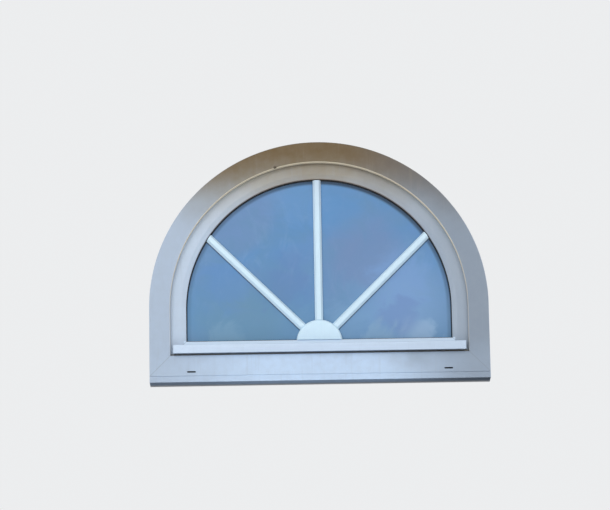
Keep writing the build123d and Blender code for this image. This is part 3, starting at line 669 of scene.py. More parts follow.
def grain(f, tint):
    """Mottling, upright streaks and fine specks."""
    mottle = f.spread(f.noise(38.0, 5.0, 0.6), 0.35, 0.75, 0.0, 0.20)
    f.lay(tint, mottle, f.spread(f.outside, 0.0, 1.0, 0.4, 1.0))
    streaks = f.noise(1.0, 4.0, 0.6, f.stretched(90.0, 90.0, 5.0))
    f.lay(tint, f.spread(streaks, 0.56, 0.78, 0.0, 0.26), f.outside)
    specks = f.spread(f.noise(420.0, 2.0, 0.5), 0.70, 0.78, 0.0, 0.30)
    f.lay(SPECKS, specks, f.outside)


def foot_details(f, slope_light):
    """Painted shade with a brown dirt tint in the gap under the weather rail, and a painted highlight
    on the slope at the glass's foot.
    """
    gap = f.product(f.below(f.z, GAP_TOP, 4 * MM), f.above(f.z, GAP_LOW - 3 * MM, 3 * MM))
    behind_lip = f.above(f.y, GAP_Y, 3 * MM)
    f.lay(GAP_SHADE_AND_DIRT, gap, behind_lip, f.below(f.beside, LIP_R + 3 * MM, 2 * MM), f.outside)
    slope = f.product(f.above(f.z, LEG_LOW, 2 * MM), f.below(f.z, LEG_TOP + 2 * MM, 2 * MM))
    # Painted highlight: the upward-facing slope made lighter
    f.lay(slope_light, slope, f.below(f.beside, LEG_X + 4 * MM, 4 * MM), f.outside)


def inner_edge(f, radius, y, width, fade):
    """A thin line along a profile's inner edge, in front of a depth."""
    outer_side = f.below(f.reach, radius + width, fade)
    return f.product(outer_side, f.above(f.reach, radius - MM, MM), f.below(f.y, y + MM, MM))


def edge_lines(f, lip):
    """A painted highlight along the frame's lip above the weather rail, and the brown dirt line where
    the glazing leg ends.
    """
    # Painted highlight: the lip's edge and soffit made pale cream
    pale = inner_edge(f, LIP_R, LIP_Y, 2.5 * MM, 1.3 * MM)
    f.lay(lip, pale, f.above(f.z, GAP_LOW, 2 * MM), f.spread(f.z, 0.20, 0.50, 0.35, 0.9))
    brown = inner_edge(f, SIGHT_R, LEG_Y, 2.2 * MM, 1.2 * MM)
    f.lay(LEG_DIRT, brown, f.spread(f.z, 0.40, 0.55, 0.0, 0.55))


def painted_drain_shade(f):
    """Painted shade in the chamber behind the weep slots."""
    low_end = f.above(f.z, DRAIN_LOW - MM, MM)
    high_end = f.below(f.z, DRAIN_TOP + MM, MM)
    front = f.above(f.y, DRAIN_Y, MM)
    back = f.below(f.y, LIP_Y, MM)
    f.lay(DRAIN_SHADE, low_end, high_end, front, back, f.below(f.beside, LIP_R + 2 * MM, 2 * MM))


def weld_line(f, weld):
    """The faint line of the weld at each mitre."""
    across = f.maths("SUBTRACT", f.maths("ADD", f.beside, f.z), MITRE)
    line = f.spread(f.maths("ABSOLUTE", across), 2.0 * MM, 0.8 * MM, 0.0, weld)
    f.lay(WELD_DIRT, line, f.below(f.z, LEG_TOP + 2 * MM, 2 * MM))


def tape_and_shade(f):
    """Dark tape at the bars' feet on the panes, also standing in as painted shade along the bars."""
    outer, inner = [
        f.maths("ABSOLUTE", f.maths("SUBTRACT", f.y, face)) for face in (PANE_Y, INNER_PANE_Y)
    ]
    f.lay(TAPE_AND_SHADE, f.below(f.maths("MINIMUM", outer, inner), 2.0 * MM, 0.7 * MM))


def plastic(
    name, base, crown, grime_and_shade, shade, low_light,
    room=ROOM_WHITE, lip=LIP_HIGHLIGHT, slope_light=SLOPE_LIGHT, right_shade=0.0, weld=0.0, taped_and_shaded=False,
):
    """White plastic with painted shade and dirt towards the crown, and painted light low down, on the
    weather side.
    """
    f = Plastic(name, base, room)
    grime_shade_share = crown_shade_and_dirt(f, crown, grime_and_shade, right_shade)
    painted_low_light(f, low_light)
    grain(f, f.blend(grime_shade_share, shade, OLD_DIRT))
    foot_details(f, slope_light)
    edge_lines(f, lip)
    painted_drain_shade(f)
    weld_line(f, weld)
    # Dirt and painted shade round the chip in the frame's lip
    f.lay(CHIP_DIRT_AND_SHADE, f.below(f.distance(*CHIP_PLACE), 6.5 * MM, 3.0 * MM))
    if taped_and_shaded:
        tape_and_shade(f)
    f.surface(Base_Color=f.body, Roughness=f.varied(60.0, 4.0, 0.30, 0.44))
    f.bump(f.noise(650.0, 3.0, 0.6), 0.05, 0.0004)
    f.surface(Specular_IOR_Level=0.45, Coat_Weight=0.08, Coat_Roughness=0.25)
    return f.material


def rubber(name, dark, dusty):
    """Gasket rubber, dusty in patches."""
    f = Finish(name)
    dust = f.spread(f.noise(30.0, 5.0, 0.65), 0.45, 0.8, 0.0, 0.5)
    f.surface(Base_Color=f.blend(dust, dark, dusty), Roughness=f.varied(90.0, 3.0, 0.6, 0.8))
    f.bump(f.noise(500.0, 2.0), 0.15, 0.0005)
    f.surface(Specular_IOR_Level=0.3)
    return f.material


# Broad soft patches of painted sky reflection in the pane: X and Z in metres, radius, strength and
# colour
REFLECTION_PATCHES = (
    (-0.24, 0.20, 0.22, 0.55, (106, 150, 176)),
    (0.15, 0.40, 0.17, 0.60, (120, 146, 188)),
    (0.07, 0.60, 0.14, 0.55, (98, 152, 204)),
    (-0.12, 0.33, 0.12, 0.45, (100, 134, 186)),
    (0.34, 0.15, 0.08, 0.70, (158, 190, 220)),
    (0.09, 0.21, 0.10, 0.45, (126, 168, 206)),
    (-0.31, 0.33, 0.11, 0.50, (100, 148, 204)),
    (0.27, 0.33, 0.12, 0.65, (126, 166, 216)),
    (0.27, 0.22, 0.08, 0.45, (112, 142, 194)),
    (0.20, 0.13, 0.06, 0.60, (140, 176, 206)),
    (-0.30, 0.14, 0.07, 0.50, (128, 168, 196)),
    (-0.06, 0.62, 0.12, 0.45, (112, 160, 210)),
)
REFLECTION_GLOW_PLACE = (0.27, PANE_Y, 0.27)


def painted_sky_reflection(f, z):
    """The pane's painted sky reflection: soft blues from the broadest cloud to the small patches,
    with a brighter glow.
    """
    broad = f.noise(2.6, 3.0, 0.5, distortion=0.6)
    fine = f.noise(9.0, 5.0, 0.6, distortion=0.8)
    wisps = f.noise(16.0, 6.0, 0.65, f.stretched(1.0, 1.0, 0.5), distortion=1.4)
    blue = f.blend(f.spread(broad, 0.38, 0.62, smooth=True), (98, 150, 202), (112, 150, 196))
    blue = f.blend(f.spread(fine, 0.42, 0.72, 0.0, 0.6), blue, (102, 148, 184))
    blue = f.blend(f.spread(wisps, 0.52, 0.80, 0.0, 0.40), blue, (132, 170, 212))
    blue = f.blend(f.spread(z, 0.14, 0.40, 0.55, 0.0, smooth=True), blue, (106, 152, 186))
    # A brighter patch of painted reflection
    glow = f.spread(f.distance(*REFLECTION_GLOW_PLACE), 0.24, 0.03, 0.0, 0.65, smooth=True)
    blue = f.blend(glow, blue, (136, 174, 218))
    ragged = f.spread(fine, 0.3, 0.7, -0.05, 0.05)
    for patch_x, patch_z, radius, share, colour in REFLECTION_PATCHES:
        away = f.maths("ADD", f.distance(patch_x, PANE_Y, patch_z), ragged)
        blue = f.blend(f.spread(away, radius, radius * 0.3, 0.0, share, smooth=True), blue, colour)
    return blue


def under_bars(f, x, z):
    """The shade just below the two slanted bars, beyond the hub."""
    drop = f.maths("SUBTRACT", f.maths("ABSOLUTE", x), f.maths("SUBTRACT", z, HUB_Z * MM))
    off = f.maths("MULTIPLY", drop, cos(radians(45)))
    near = f.above(off, 10.5 * MM, 1.0 * MM)
    far = f.below(off, 17.2 * MM, 2.4 * MM)
    return f.product(near, far, f.above(f.distance(*HUB_PLACE), HUB_RADIUS * MM, 4 * MM), 0.8)


def outer_glass():
    """The weather pane: a painted sky reflection in soft patches of blue, painted shade under the
    arch and below the slanted bars, and a painted dark line at its edge.
    """
    f = Finish("outer_glass")
    x, _, z = f.axes()
    blue = f.blend(under_bars(f, x, z), painted_sky_reflection(f, z), (48, 72, 98))
    reach = f.arch_reach(x, z)
    shade = f.spread(reach, LIGHT_R - 17 * MM, LIGHT_R - 7 * MM, smooth=True)
    shade = f.product(shade, f.spread(z, 0.22, 0.60, 0.30, 1.0), f.spread(x, -0.28, 0.02, 0.55, 1.0))
    blue = f.blend(shade, blue, (50, 76, 102))
    # A painted dark line along the glass's edge, darker higher up, standing in for shade and
    # reflection at the gasket
    rim = f.product(f.above(reach, LIGHT_R - 3.0 * MM, 1.5 * MM), f.spread(z, 0.18, 0.40, 0.25, 0.75))
    f.surface(Base_Color=f.blend(rim, blue, (24, 32, 40)), Roughness=f.varied(12.0, 4.0, 0.02, 0.06))
    f.surface(Specular_IOR_Level=0.5, IOR=1.5, Alpha=0.9)
    return f.material


def inner_glass():
    """The room-side pane, nearly clear, with a faint haze."""
    f = Finish("inner_glass")
    haze = f.spread(f.noise(7.0, 4.0, 0.6, distortion=0.5), 0.35, 0.7)
    colour = f.blend(haze, (150, 178, 204), (176, 198, 216))
    f.surface(Base_Color=colour, Roughness=f.varied(12.0, 4.0, 0.01, 0.04))
    f.surface(Specular_IOR_Level=0.5, IOR=1.5, Alpha=0.3)
    return f.material


def metal(name, light, dark, smoothest, roughest, grain, metallic=1.0):
    """Plated or lacquered metal with fine variation."""
    f = Finish(name)
    colour = f.blend(f.spread(f.noise(grain, 4.0, 0.6), 0.3, 0.7), light, dark)
    f.surface(Base_Color=colour, Roughness=f.varied(grain * 2.3, 3.0, smoothest, roughest))
    f.bump(f.noise(grain * 9.0, 2.0), 0.05, 0.0003)
    f.surface(Metallic=metallic)
    return f.material


def galvanised():
    """Zinc spangle on the steel channels."""
    f = Finish("galvanised_steel")
    cells = f.node("ShaderNodeTexVoronoi", f.place)
    f.fill(cells, Scale=140.0)
    spangle = cells.outputs["Distance"]
    colour = f.blend(f.spread(spangle, 0.0, 0.9), (176, 180, 184), (132, 138, 144))
    f.surface(Base_Color=colour, Roughness=f.spread(spangle, 0.0, 0.9, 0.32, 0.55), Metallic=1.0)
    return f.material


def moulded(name, light, dark):
    """Matt moulded plastic."""
    f = Finish(name)
    colour = f.blend(f.varied(70.0, 4.0, 0.0, 1.0), light, dark)
    f.surface(Base_Color=colour, Roughness=f.varied(160.0, 3.0, 0.45, 0.6))
    f.bump(f.noise(900.0, 2.0), 0.08, 0.0003)
    return f.material


INNER_GLASS = inner_glass()
FINISHES = {
    "white_profile": plastic(
        "profile_plastic",
        base=(194, 210, 228),
        crown=(166, 159, 143),
        grime_and_shade=(108, 90, 60),
        shade=(172, 182, 194),
        low_light=(204, 226, 250),
        right_shade=0.50,
        weld=0.28,
    ),
    "bar_profile": plastic(
        "bar_plastic",
        base=(216, 241, 255),
        crown=(204, 222, 238),
        grime_and_shade=(190, 206, 220),
        shade=(192, 216, 236),
        low_light=(200, 224, 242),
        room=(232, 235, 237),
        lip=(212, 236, 252),
        slope_light=(212, 236, 252),
        taped_and_shaded=True,
    ),
    "weather_rail": plastic(
        "rail_plastic",
        base=(208, 226, 246),
        crown=(208, 224, 242),
        grime_and_shade=(198, 212, 226),
        shade=(184, 200, 218),
        low_light=(202, 220, 240),
        lip=(208, 226, 246),
        slope_light=(208, 226, 246),
        right_shade=0.12,
    ),
    "gasket": rubber("gasket_rubber", (30, 32, 34), (70, 72, 72)),
    "glass": outer_glass(),
    "spacer": metal("spacer_metal", (176, 180, 184), (150, 154, 158), 0.35, 0.5, 60.0),
    "galvanised_steel": galvanised(),
    "setting_block": moulded("block_plastic", (58, 92, 148), (46, 78, 130)),
    "hinge_metal": metal("white_lacquer", (220, 223, 226), (210, 213, 217), 0.24, 0.36, 30.0, 0.0),
    "handle_paint": metal("handle_lacquer", (226, 228, 231), (217, 220, 224), 0.2, 0.3, 30.0, 0.0),
    "fittings_steel": metal("zinc_plating", (188, 190, 192), (160, 164, 168), 0.25, 0.42, 80.0),
}

# Slots that look different on the frame from how they look on the sash: the frame's white is a darker
# copy, painted shade with some dirt, and its gasket is grey
FRAME_FINISHES = {
    "white_profile": plastic(
        "frame_plastic_shaded",
        base=(174, 190, 209),
        crown=(132, 123, 101),
        grime_and_shade=(100, 77, 37),
        shade=(156, 166, 178),
        low_light=(200, 222, 246),
        right_shade=0.60,
        weld=0.34,
    ),
    "gasket": rubber("grey_gasket_rubber", (128, 128, 124), (152, 148, 140)),
}


def dress_frame_nodes():
    """Gives every carried-over node its slot's finish."""
    for part in frame["record"]["subparts"]:
        mesh = frame["nodes"][part["node"]].data
        finish = INNER_GLASS if part["node"] == "inner_pane" else FINISHES[part["material_slot"]]
        mesh.materials.clear()
        mesh.materials.append(finish)


# Frame and sill


def frame_rings():
    """The frame section, softly rounded, with its three chambers."""
    outline = rounded([
        (0, 0, EDGE_ROUND),
        (FRAME_FACE, 0, LIP_ROUND),
        (FRAME_FACE, LIP_DEPTH, CORNER_ROUND),
        (FRAME_REBATE, LIP_DEPTH, CORNER_ROUND),
        (FRAME_REBATE, FRAME_DEPTH, CORNER_ROUND),
        (0, FRAME_DEPTH, EDGE_ROUND),
    ])
    u0, v0, u1, v1 = STEEL_BOX
    front = rectangle(OUTER_WALL, WALL, FRAME_FACE - OUTER_WALL, LIP_DEPTH - WALL)
    back = rectangle(u0, v1 + WALL, u1, FRAME_DEPTH - WALL)
    return [outline, front, rectangle(*STEEL_BOX), back]


def slot_cutter(x, z, y0, y1):
    """A round-ended drainage slot through a wall."""
    end = WEEP_LENGTH / 2
    half = WEEP_WIDTH / 2
    corners = [(-end, -half, half), (end, -half, half), (end, half, half), (-end, half, half)]
    outline = [Vector((x + p.x, z + p.y)) for p in rounded(corners, 10)]
    return through(outline, y0, y1)


def fixing_cutters(z0, z1):
    """The two frame screw holes."""
    y = y_of(STEEL_V + STEEL_ROOM / 2)
    cutters = []
    for side in (-1, 1):
        outline = [Vector((side * FIXING_X + p.x, y + p.y)) for p in circle(FIXING_RADIUS, 40)]
        ends = [(z0 - OVERCUT, 0.0), (z1 + OVERCUT, 0.0)]
        cutters.append(prism(outline, lambda a, b, z: (a, b, z), ends))
    return cutters


def make_frame():
    """The frame's head with a small chip on its lip, and the drained bottom rail."""
    marks = circle(1.0, 9)
    chip = [Vector((CHIP_X + p.x * CHIP_WIDTH, CHIP_Z + p.y * CHIP_HEIGHT)) for p in marks]
    chip_cut = through(chip, FRONT_Y - OVERCUT, FRONT_Y + CHIP_DEPTH)
    head = cut(swept(frame_rings(), head_stations()), chip_cut)
    dress("frame_head_profile", head, "frame", "white_profile", "frame_head")

    cutters = []
    z0 = BASE_Z + FRAME_REBATE
    y0 = y_of(LIP_DEPTH - WALL)
    y1 = y_of(LIP_DEPTH)
    for side in (-1, 1):
        slot_y = (FRONT_Y - OVERCUT, FRONT_Y + WALL + OVERCUT)
        cutters.append(slot_cutter(side * WEEP_X, BASE_Z + WEEP_HEIGHT, *slot_y))
        x0 = side * INNER_WEEP_X - WEEP_LENGTH / 2
        slot_x = (x0, x0 + WEEP_LENGTH)
        cutters.append(block(*slot_x, y0 - OVERCUT, y1 + OVERCUT, z0 + HAIR, z0 + WEEP_WIDTH))
    cutters += fixing_cutters(BASE_Z, z0)
    rail = cut(swept(frame_rings(), rail_stations()), *cutters)
    dress("frame_rail_profile", rail, "frame", "white_profile", "frame_bottom_rail")


def make_sill():
    """The hollow sill profile under the frame."""
    (_, y0, z0), (_, y1, z1) = span("sill_profile")
    rings = [rounded([
        (y0, z0, SILL_FOOT_ROUND),
        (y1, z0, SILL_FOOT_ROUND),
        (y1, z1, CORNER_ROUND),
        (y0, z1, SILL_NOSE_ROUND),
    ])]
    half = (y1 - y0 - 3 * SILL_WALL) / 2
    for start in (y0 + SILL_WALL, y0 + 2 * SILL_WALL + half):
        rings.append(rectangle(start, z0 + SILL_WALL, start + half, z1 - SILL_WALL))
    full = RADIUS - SILL_END_BEVEL
    ends = [(-RADIUS, SILL_END_INSET), (-full, 0.0), (full, 0.0), (RADIUS, SILL_END_INSET)]
    mesh = cut(swept(rings, along_x(ends)), *fixing_cutters(z0, z1))
    dress("sill_base_profile", mesh, "frame", "white_profile", "sill_profile")


# Sash and glazing


def sash_rings():
    """The sash section: sloped glazing leg, rebate, flange and fittings groove, and its chambers."""
    outline = rounded([
        (SASH_EDGE, SASH_V, EDGE_ROUND),
        (SIGHT - LEG_SLOPE_RUN, SASH_V, LEG_BEND),
        (SIGHT, SASH_V + LEG_SLOPE_DROP, LEG_ROUND),
        (SIGHT, LEG_BACK, CORNER_ROUND),
        (GLAZING_BASE, LEG_BACK, CORNER_ROUND),
        (GLAZING_BASE, SASH_BACK, EDGE_ROUND),
        (FLANGE_EDGE, SASH_BACK, LIP_ROUND),
        (FLANGE_EDGE, FLANGE_V, EDGE_ROUND),
        (SASH_EDGE, FLANGE_V, CORNER_ROUND),
        (SASH_EDGE, GROOVE_BACK, CORNER_ROUND),
        (GROOVE_FLOOR, GROOVE_BACK, CORNER_ROUND),
        (GROOVE_FLOOR, GROOVE_V, CORNER_ROUND),
        (SASH_EDGE, GROOVE_V, CORNER_ROUND),
    ])
    inner = GLAZING_BASE - WALL
    front = rectangle(SASH_EDGE + WALL, SASH_V + WALL, GLAZING_BASE - OUTER_WALL, LEG_BACK)
    steel = rectangle(GROOVE_FLOOR + WALL, GROOVE_V, inner, GLASS_BACK)
    back = rectangle(SASH_EDGE + WALL, GLASS_BACK + WALL, inner, SASH_BACK - WALL)
    return [outline, front, steel, back]


def make_sash():
    """The sash's head with its milled pocket and spindle hole, and its bottom rail."""
    half = high("lock_gearbox").x + CLEARANCE
    foot = low("lock_gearbox").z - CLEARANCE
    top = SPRING_Z + RADIUS - GROOVE_FLOOR + OVERCUT
    y0, y1 = y_of(GROOVE_V), y_of(GROOVE_BACK)
    pocket = block(-half, half, y0 + HAIR, y1 - HAIR, foot, top)
    bore = SPINDLE_HOLE / 2
    bore_y = (y1 - OVERCUT, y_of(SASH_BACK) + OVERCUT)
    hole = block(-bore, bore, *bore_y, HANDLE_Z - bore, HANDLE_Z + bore)
    head = cut(swept(sash_rings(), head_stations()), pocket, hole)
    dress("sash_head_profile", head, "sash", "white_profile", "sash_head")
    rail = swept(sash_rings(), rail_stations())
    piece("sash_rail_profile", rail, "sash", "white_profile", "sash_bottom_rail")


def make_beads():
    """The glazing beads round the room side of the unit."""
    outline = rounded([
        (GLAZING_BASE, BEAD_V, CORNER_ROUND),
        (SIGHT, BEAD_V, EDGE_ROUND),
        (SIGHT, SASH_BACK - BEAD_SLOPE, LIP_ROUND),
        (SIGHT - BEAD_SLOPE, SASH_BACK, LIP_ROUND),
        (GLAZING_BASE, SASH_BACK, CORNER_ROUND),
    ])
    for part, stations in (("arch", head_stations()), ("bottom", rail_stations())):
        shape = swept([outline], stations)
        node = "glazing_bead_" + part
        piece("bead_" + part + "_strip", shape, "sash", "white_profile", node)


def seal_outline(root, far_root, base, tip_u, tip_v):
    """A triangular lip seal: its root on a face, and its tip past that face."""
    return rounded([
        (root, base, SEAL_ROOT_ROUND),
        (far_root, base, SEAL_ROOT_ROUND),
        (tip_u, tip_v, SEAL_TIP_ROUND),
    ])


def glazing_outline(v0, v1):
    """A glazing gasket between a pane and the profile beside it."""
    u0 = RADIUS - high("outer_glazing_gasket").x
    return rounded([
        (u0, v0, SEAL_ROOT_ROUND),
        (DAYLIGHT, v0, GASKET_ROUND),
        (DAYLIGHT, v1, GASKET_ROUND),
        (u0, v1, SEAL_ROOT_ROUND),
    ])


def make_gaskets():
    """The four gaskets, each a rounded strip run all the way round."""
    lip = FRAME_FACE - SEAL_SETBACK
    edge = FLANGE_EDGE + SEAL_SETBACK
    stop = seal_outline(lip - SEAL_WIDTH, lip - SEAL_FLARE, LIP_DEPTH, lip, SASH_V - CLEARANCE)
    room_stop = seal_outline(
        edge + SEAL_WIDTH, edge + SEAL_FLARE, FLANGE_V, edge, FRAME_DEPTH + CLEARANCE
    )
    strips = (
        ("frame_gasket", stop, "frame"),
        ("sash_gasket", room_stop, "sash"),
        ("outer_glazing_gasket", glazing_outline(LEG_BACK, OUTER_PANE_V), "sash"),
        ("inner_glazing_gasket", glazing_outline(GLASS_BACK, BEAD_V), "sash"),
    )
    for node, outline, body in strips:
        shape = swept([outline], ring_stations(), closed=True)
        piece(node + "_strip", shape, body, "gasket", node)


def make_bar(node, angle, seat, sign):
    """A bar stuck on a pane, scribed to the hub and to the gasket."""
    half = BAR_WIDTH / 2
    crest = BAR_CREST / 2
    depth = high(node).y - low(node).y
    outline = rounded([
        (-half, 0, BAR_FOOT_ROUND),
        (-half, BAR_SHOULDER, BAR_SHOULDER_ROUND),
        (-crest, depth, BAR_CREST_ROUND),
        (0, depth, 0),
        (crest, depth, BAR_CREST_ROUND),
        (half, BAR_SHOULDER, BAR_SHOULDER_ROUND),
        (half, 0, BAR_FOOT_ROUND),
        (0, 0, 0),
    ])
    reach = RADIUS - DAYLIGHT - CLEARANCE
    drop = HUB_Z - SPRING_Z

    def place(x, out, far):
        px = x * cos(angle)
        pz = drop - x * sin(angle)
        along = px * sin(angle) + pz * cos(angle)
        s = sqrt((HUB_RADIUS + CLEARANCE) ** 2 - x * x)
        if far:
            s = sqrt(along * along - px * px - pz * pz + reach * reach) - along
        return px + s * sin(angle), seat + sign * out, SPRING_Z + pz + s * cos(angle)

    shape = prism(outline, place, [(False, 0.0), (True, 0.0)])
    piece(node + "_strip", shape, "sash", "bar_profile", node)


def make_hub(node, seat, sign):
    """The half-round boss, turned and cut flat along the gasket."""
    depth = high(node).y - low(node).y
    profile = rounded([
        (0, 0, 0),
        (HUB_RADIUS, 0, HUB_FOOT_ROUND),
        (HUB_RADIUS, depth - HUB_BEVEL, HUB_ROUND),
        (HUB_RADIUS - HUB_BEVEL, depth, HUB_ROUND),
        (0, depth, 0),
    ])
    disc = revolved(profile, HUB_STEPS, lambda up, right, h: (right, seat + sign * h, HUB_Z + up))
    foot = low(node).z
    deep = foot - HUB_RADIUS * 2
    over = BASE_Z + DAYLIGHT + CLEARANCE
    inner = seat - sign * OVERCUT
    lip = seat + sign * (GASKET + CLEARANCE)
    outer = seat + sign * (depth + OVERCUT)
    steps = ((inner, deep), (inner, over), (lip, over), (lip, foot), (outer, foot), (outer, deep))
    reach = HUB_RADIUS + OVERCUT
    below = swept([[Vector(p) for p in steps]], along_x([(-reach, 0.0), (reach, 0.0)]))
    dress(node + "_boss", cut(disc, below), "sash", "bar_profile", node)


def make_sunburst():
    """Bars and hubs on both faces of the unit."""
    outer = y_of(OUTER_PANE_V)
    inner = y_of(GLASS_BACK)
    for name, degrees in (("left", -45), ("centre", 0), ("right", 45)):
        make_bar("outer_bar_" + name, radians(degrees), outer, -1)
        make_bar("inner_bar_" + name, radians(degrees), inner, 1)
    make_hub("outer_hub", outer, -1)
    make_hub("inner_hub", inner, 1)


def rail_outline():
    """The weather rail's section in Y and Z."""
    (_, front, foot), (_, back, top) = span("drip_rail")
    return rounded([
        (back, foot + RAIL_NOSE, RAIL_BACK_ROUND),
        (back, top, RAIL_BACK_ROUND),
        (front + RAIL_LEAN, top - RAIL_SLOPE, RAIL_ROUND),
        (front, top - RAIL_SLOPE - RAIL_BAND, RAIL_CREASE_ROUND),
        (front, foot, RAIL_FOOT_ROUND),
        (front + RAIL_NOSE, foot, RAIL_FOOT_ROUND),
        (front + RAIL_NOSE, foot + RAIL_NOSE, RAIL_THROAT_ROUND),
    ])


def rail_chamber():
    """The weather rail's hollow."""
    (_, front, foot), (_, back, top) = span("drip_rail")
    front += RAIL_WALL
    back -= RAIL_WALL
    floor = foot + RAIL_NOSE + RAIL_WALL
    slope_top = top - RAIL_SLOPE - RAIL_WALL
    corners = ((back, floor), (back, top - RAIL_TOP_WALL), (front, slope_top), (front, floor))
    return [Vector(p) for p in corners]


def make_weather_rail():
    """The weather rail and the caps on its ends."""
    end = RAIL_END - RAIL_CAP
    rail = swept([rail_outline(), rail_chamber()], along_x([(-end, 0.0), (end, 0.0)]))
    piece("drip_rail_profile", rail, "sash", "weather_rail", "drip_rail")
    layers = ((end, 0.0), (RAIL_END - CAP_ROUND, 0.0), (RAIL_END, CAP_ROUND))
    for name, side in (("left", -1), ("right", 1)):
        cap = swept([rail_outline()], along_x([(side * x, depth) for x, depth in layers]))
        node = "drip_rail_cap_" + name
        piece(node + "_moulding", cap, "sash", "weather_rail", node)


# Handle

# The rosette's edge: distance past its seat or short of its top, and the inset there
ROSETTE_FOOT = ((0.0, 0.4), (0.5, 0.0))
ROSETTE_TOP = ((3.4, 0.0), (1.6, 0.6), (0.5, 1.7), (0.0, 3.4))
ROSETTE_POWER = 5.0

LEVER_THICKNESS = 12.0
LEVER_SLIM = 1.2
LEVER_SET_BACK = 0.4
LEVER_TIP = 0.35
LEVER_POWER = 3.2
LEVER_TAPER = 0.16
LEVER_ARCH = 0.32
LEVER_STEPS = 44

# The lever's neck: distance from the rosette, and radius
NECK = ((0.0, 8.7), (1.0, 9.0), (4.0, 8.2), (12.0, 8.0))
NECK_END = 9.4


def make_rosette():
    """The cover plate behind the lever."""
    lo, hi = span("handle_rosette")
    plate = superellipse(hi.x - lo.x, hi.z - lo.z, ROSETTE_POWER, 96)
    layers = [(lo.y + out, depth) for out, depth in ROSETTE_FOOT]
    layers += [(hi.y - down, depth) for down, depth in ROSETTE_TOP]
    shape = prism(plate, lambda a, b, y: (a, y, HANDLE_Z + b), layers)
    piece("handle_rosette_cover", shape, "sash", "handle_paint", "handle_rosette")


def lever_grip(lo, hi, middle):
    """The lever's flat grip, tapered, slightly arched and rounded at both ends."""
    width = hi.z - lo.z
    length = hi.x - lo.x
    rings = []
    for k in range(LEVER_STEPS + 1):
        along = 0.5 - 0.5 * cos(pi * k / LEVER_STEPS)
        end = min(along, 1 - along) * length
        full = sqrt(max(1 - (1 - min(end / (width / 2), 1)) ** 2, 0.0004))
        wide = width * (1 - LEVER_TAPER * along) * full
        thick = (LEVER_THICKNESS - LEVER_SLIM) * (LEVER_TIP + (1 - LEVER_TIP) * full)
        y = middle - LEVER_SET_BACK + LEVER_ARCH * sin(pi * along)
        x = lo.x + length * along
        ring = superellipse(wide, thick, LEVER_POWER, 40)
        rings.append([(x, y + p.y, HANDLE_Z + p.x) for p in ring])
    return lofted(rings)


def make_lever():
    """The lever: its grip, and the neck that turns in the rosette."""
    lo, hi = span("handle_lever")
    middle = hi.y - LEVER_THICKNESS / 2
    neck = [(lo.y + out, radius) for out, radius in NECK] + [(middle, NECK_END)]
    rings = [[(p.x, y, HANDLE_Z + p.y) for p in circle(radius, 48)] for y, radius in neck]
    shape = joined([lever_grip(lo, hi, middle), lofted(rings)])
    piece("handle_lever_grip", shape, "handle", "handle_paint", "handle_lever")


# Screws

# Screw heads: radius and rise
HINGE_SCREW = (3.9, 1.5)
FACEPLATE_SCREW = (3.2, 0.9)
STRIKER_SCREW = (2.4, 0.9)
PIVOT_SCREW = (2.6, 0.4)
STUD_SCREW = (2.6, 0.9)

# Plates that the screws hold, and the screws' places in them
PLATE = 2.5
LEAF = 3.0
HINGE_LENGTH = 64.0
HINGE_MARGIN = 11.0
HINGE_EDGE = 7.5
HINGE_ROW_GAP = 12.5
FACEPLATE_ANGLES = (-39.5, -20, -13.5, 13.5, 20, 39.5)
STRIKER_ANGLES = (-1.5, 1.5)
STRIKER_SCREW_Y = 4.4
PIVOT_MARGIN = 5.0
PIVOT_LIFT = 6.0
STUD_MARGIN = 4.5


def screw(radius, rise):
    """A screw head with a cross recess, standing on the XY plane."""
    profile = rounded([
        (0, 0, 0),
        (radius, 0, 0.1),
        (radius, rise * 0.45, 0.3),
        (radius * 0.62, rise, 0.5),
        (0, rise, 0),
    ])
    head = revolved(profile, 32, lambda x, y, z: (x, y, z))
    arm, slot = radius * 0.55, radius * 0.13
    cross = []
    for turn in range(4):
        a = turn * pi / 2
        for px, py in ((slot, slot), (slot, arm), (-slot, arm)):
            cross.append(Vector((px * cos(a) - py * sin(a), px * sin(a) + py * cos(a))))
    recess = prism(cross, lambda x, y, z: (x, y, z), [(rise * 0.35, 0.0), (rise + 1.0, 0.0)])
    mesh = cut(head, recess)
    points = [v.co / MM for v in mesh.vertices]
    polygons = [tuple(p.vertices) for p in mesh.polygons]
    bpy.data.meshes.remove(mesh)
    return points, polygons


def screws(name, body, head, places):
    """One joined piece of like screws, each given by its seat and the way that its head faces."""
    points, polygons = screw(*head)
    shapes = []
    for number, (seat, facing) in enumerate(places):
        turn = Vector(facing).to_track_quat("Z", "X").to_matrix()
        turn = turn @ Matrix.Rotation(0.7 * number, 3, "Z")
        shapes.append(([turn @ p + Vector(seat) for p in points], polygons))
    piece(name, joined(shapes), body, "fittings_steel")


def hinge_screws(node, body, face, shares, heights):
    """Screws in one kind of hinge leaf, at shares of the leaf's length."""
    between = HINGE_LENGTH - 2 * HINGE_MARGIN
    start = high(node).x - HINGE_LENGTH + HINGE_MARGIN
    places = []
    for side in (-1, 1):
        for share in shares:
            x = side * (start + share * between)
            places += [((x, face + LEAF, z), (0, 1, 0)) for z in heights]
    screws(node + "_screws", body, HINGE_SCREW, places)


def make_hinge_screws():
    """Three screws in each hinge's frame leaf and four in each sash leaf."""
    foot = low("hinge_frame_leaves").z + HINGE_EDGE
    top = high("hinge_sash_leaves").z - HINGE_EDGE
    rows = (top, top - HINGE_ROW_GAP)
    hinge_screws("hinge_frame_leaves", "frame", y_of(FRAME_DEPTH), (0.0, 0.5, 1.0), (foot,))
    hinge_screws("hinge_sash_leaves", "sash", y_of(SASH_BACK), (0.0, 1.0), rows)


def arc_screws(name, body, head, r, y, angles, side):
    """Screws along an arc, whose heads face outwards or inwards."""
    places = []
    for angle in angles:
        facing = (side * sin(angle), 0, side * cos(angle))
        places.append((arch_point(r, y, angle), facing))
    screws(name, body, head, places)


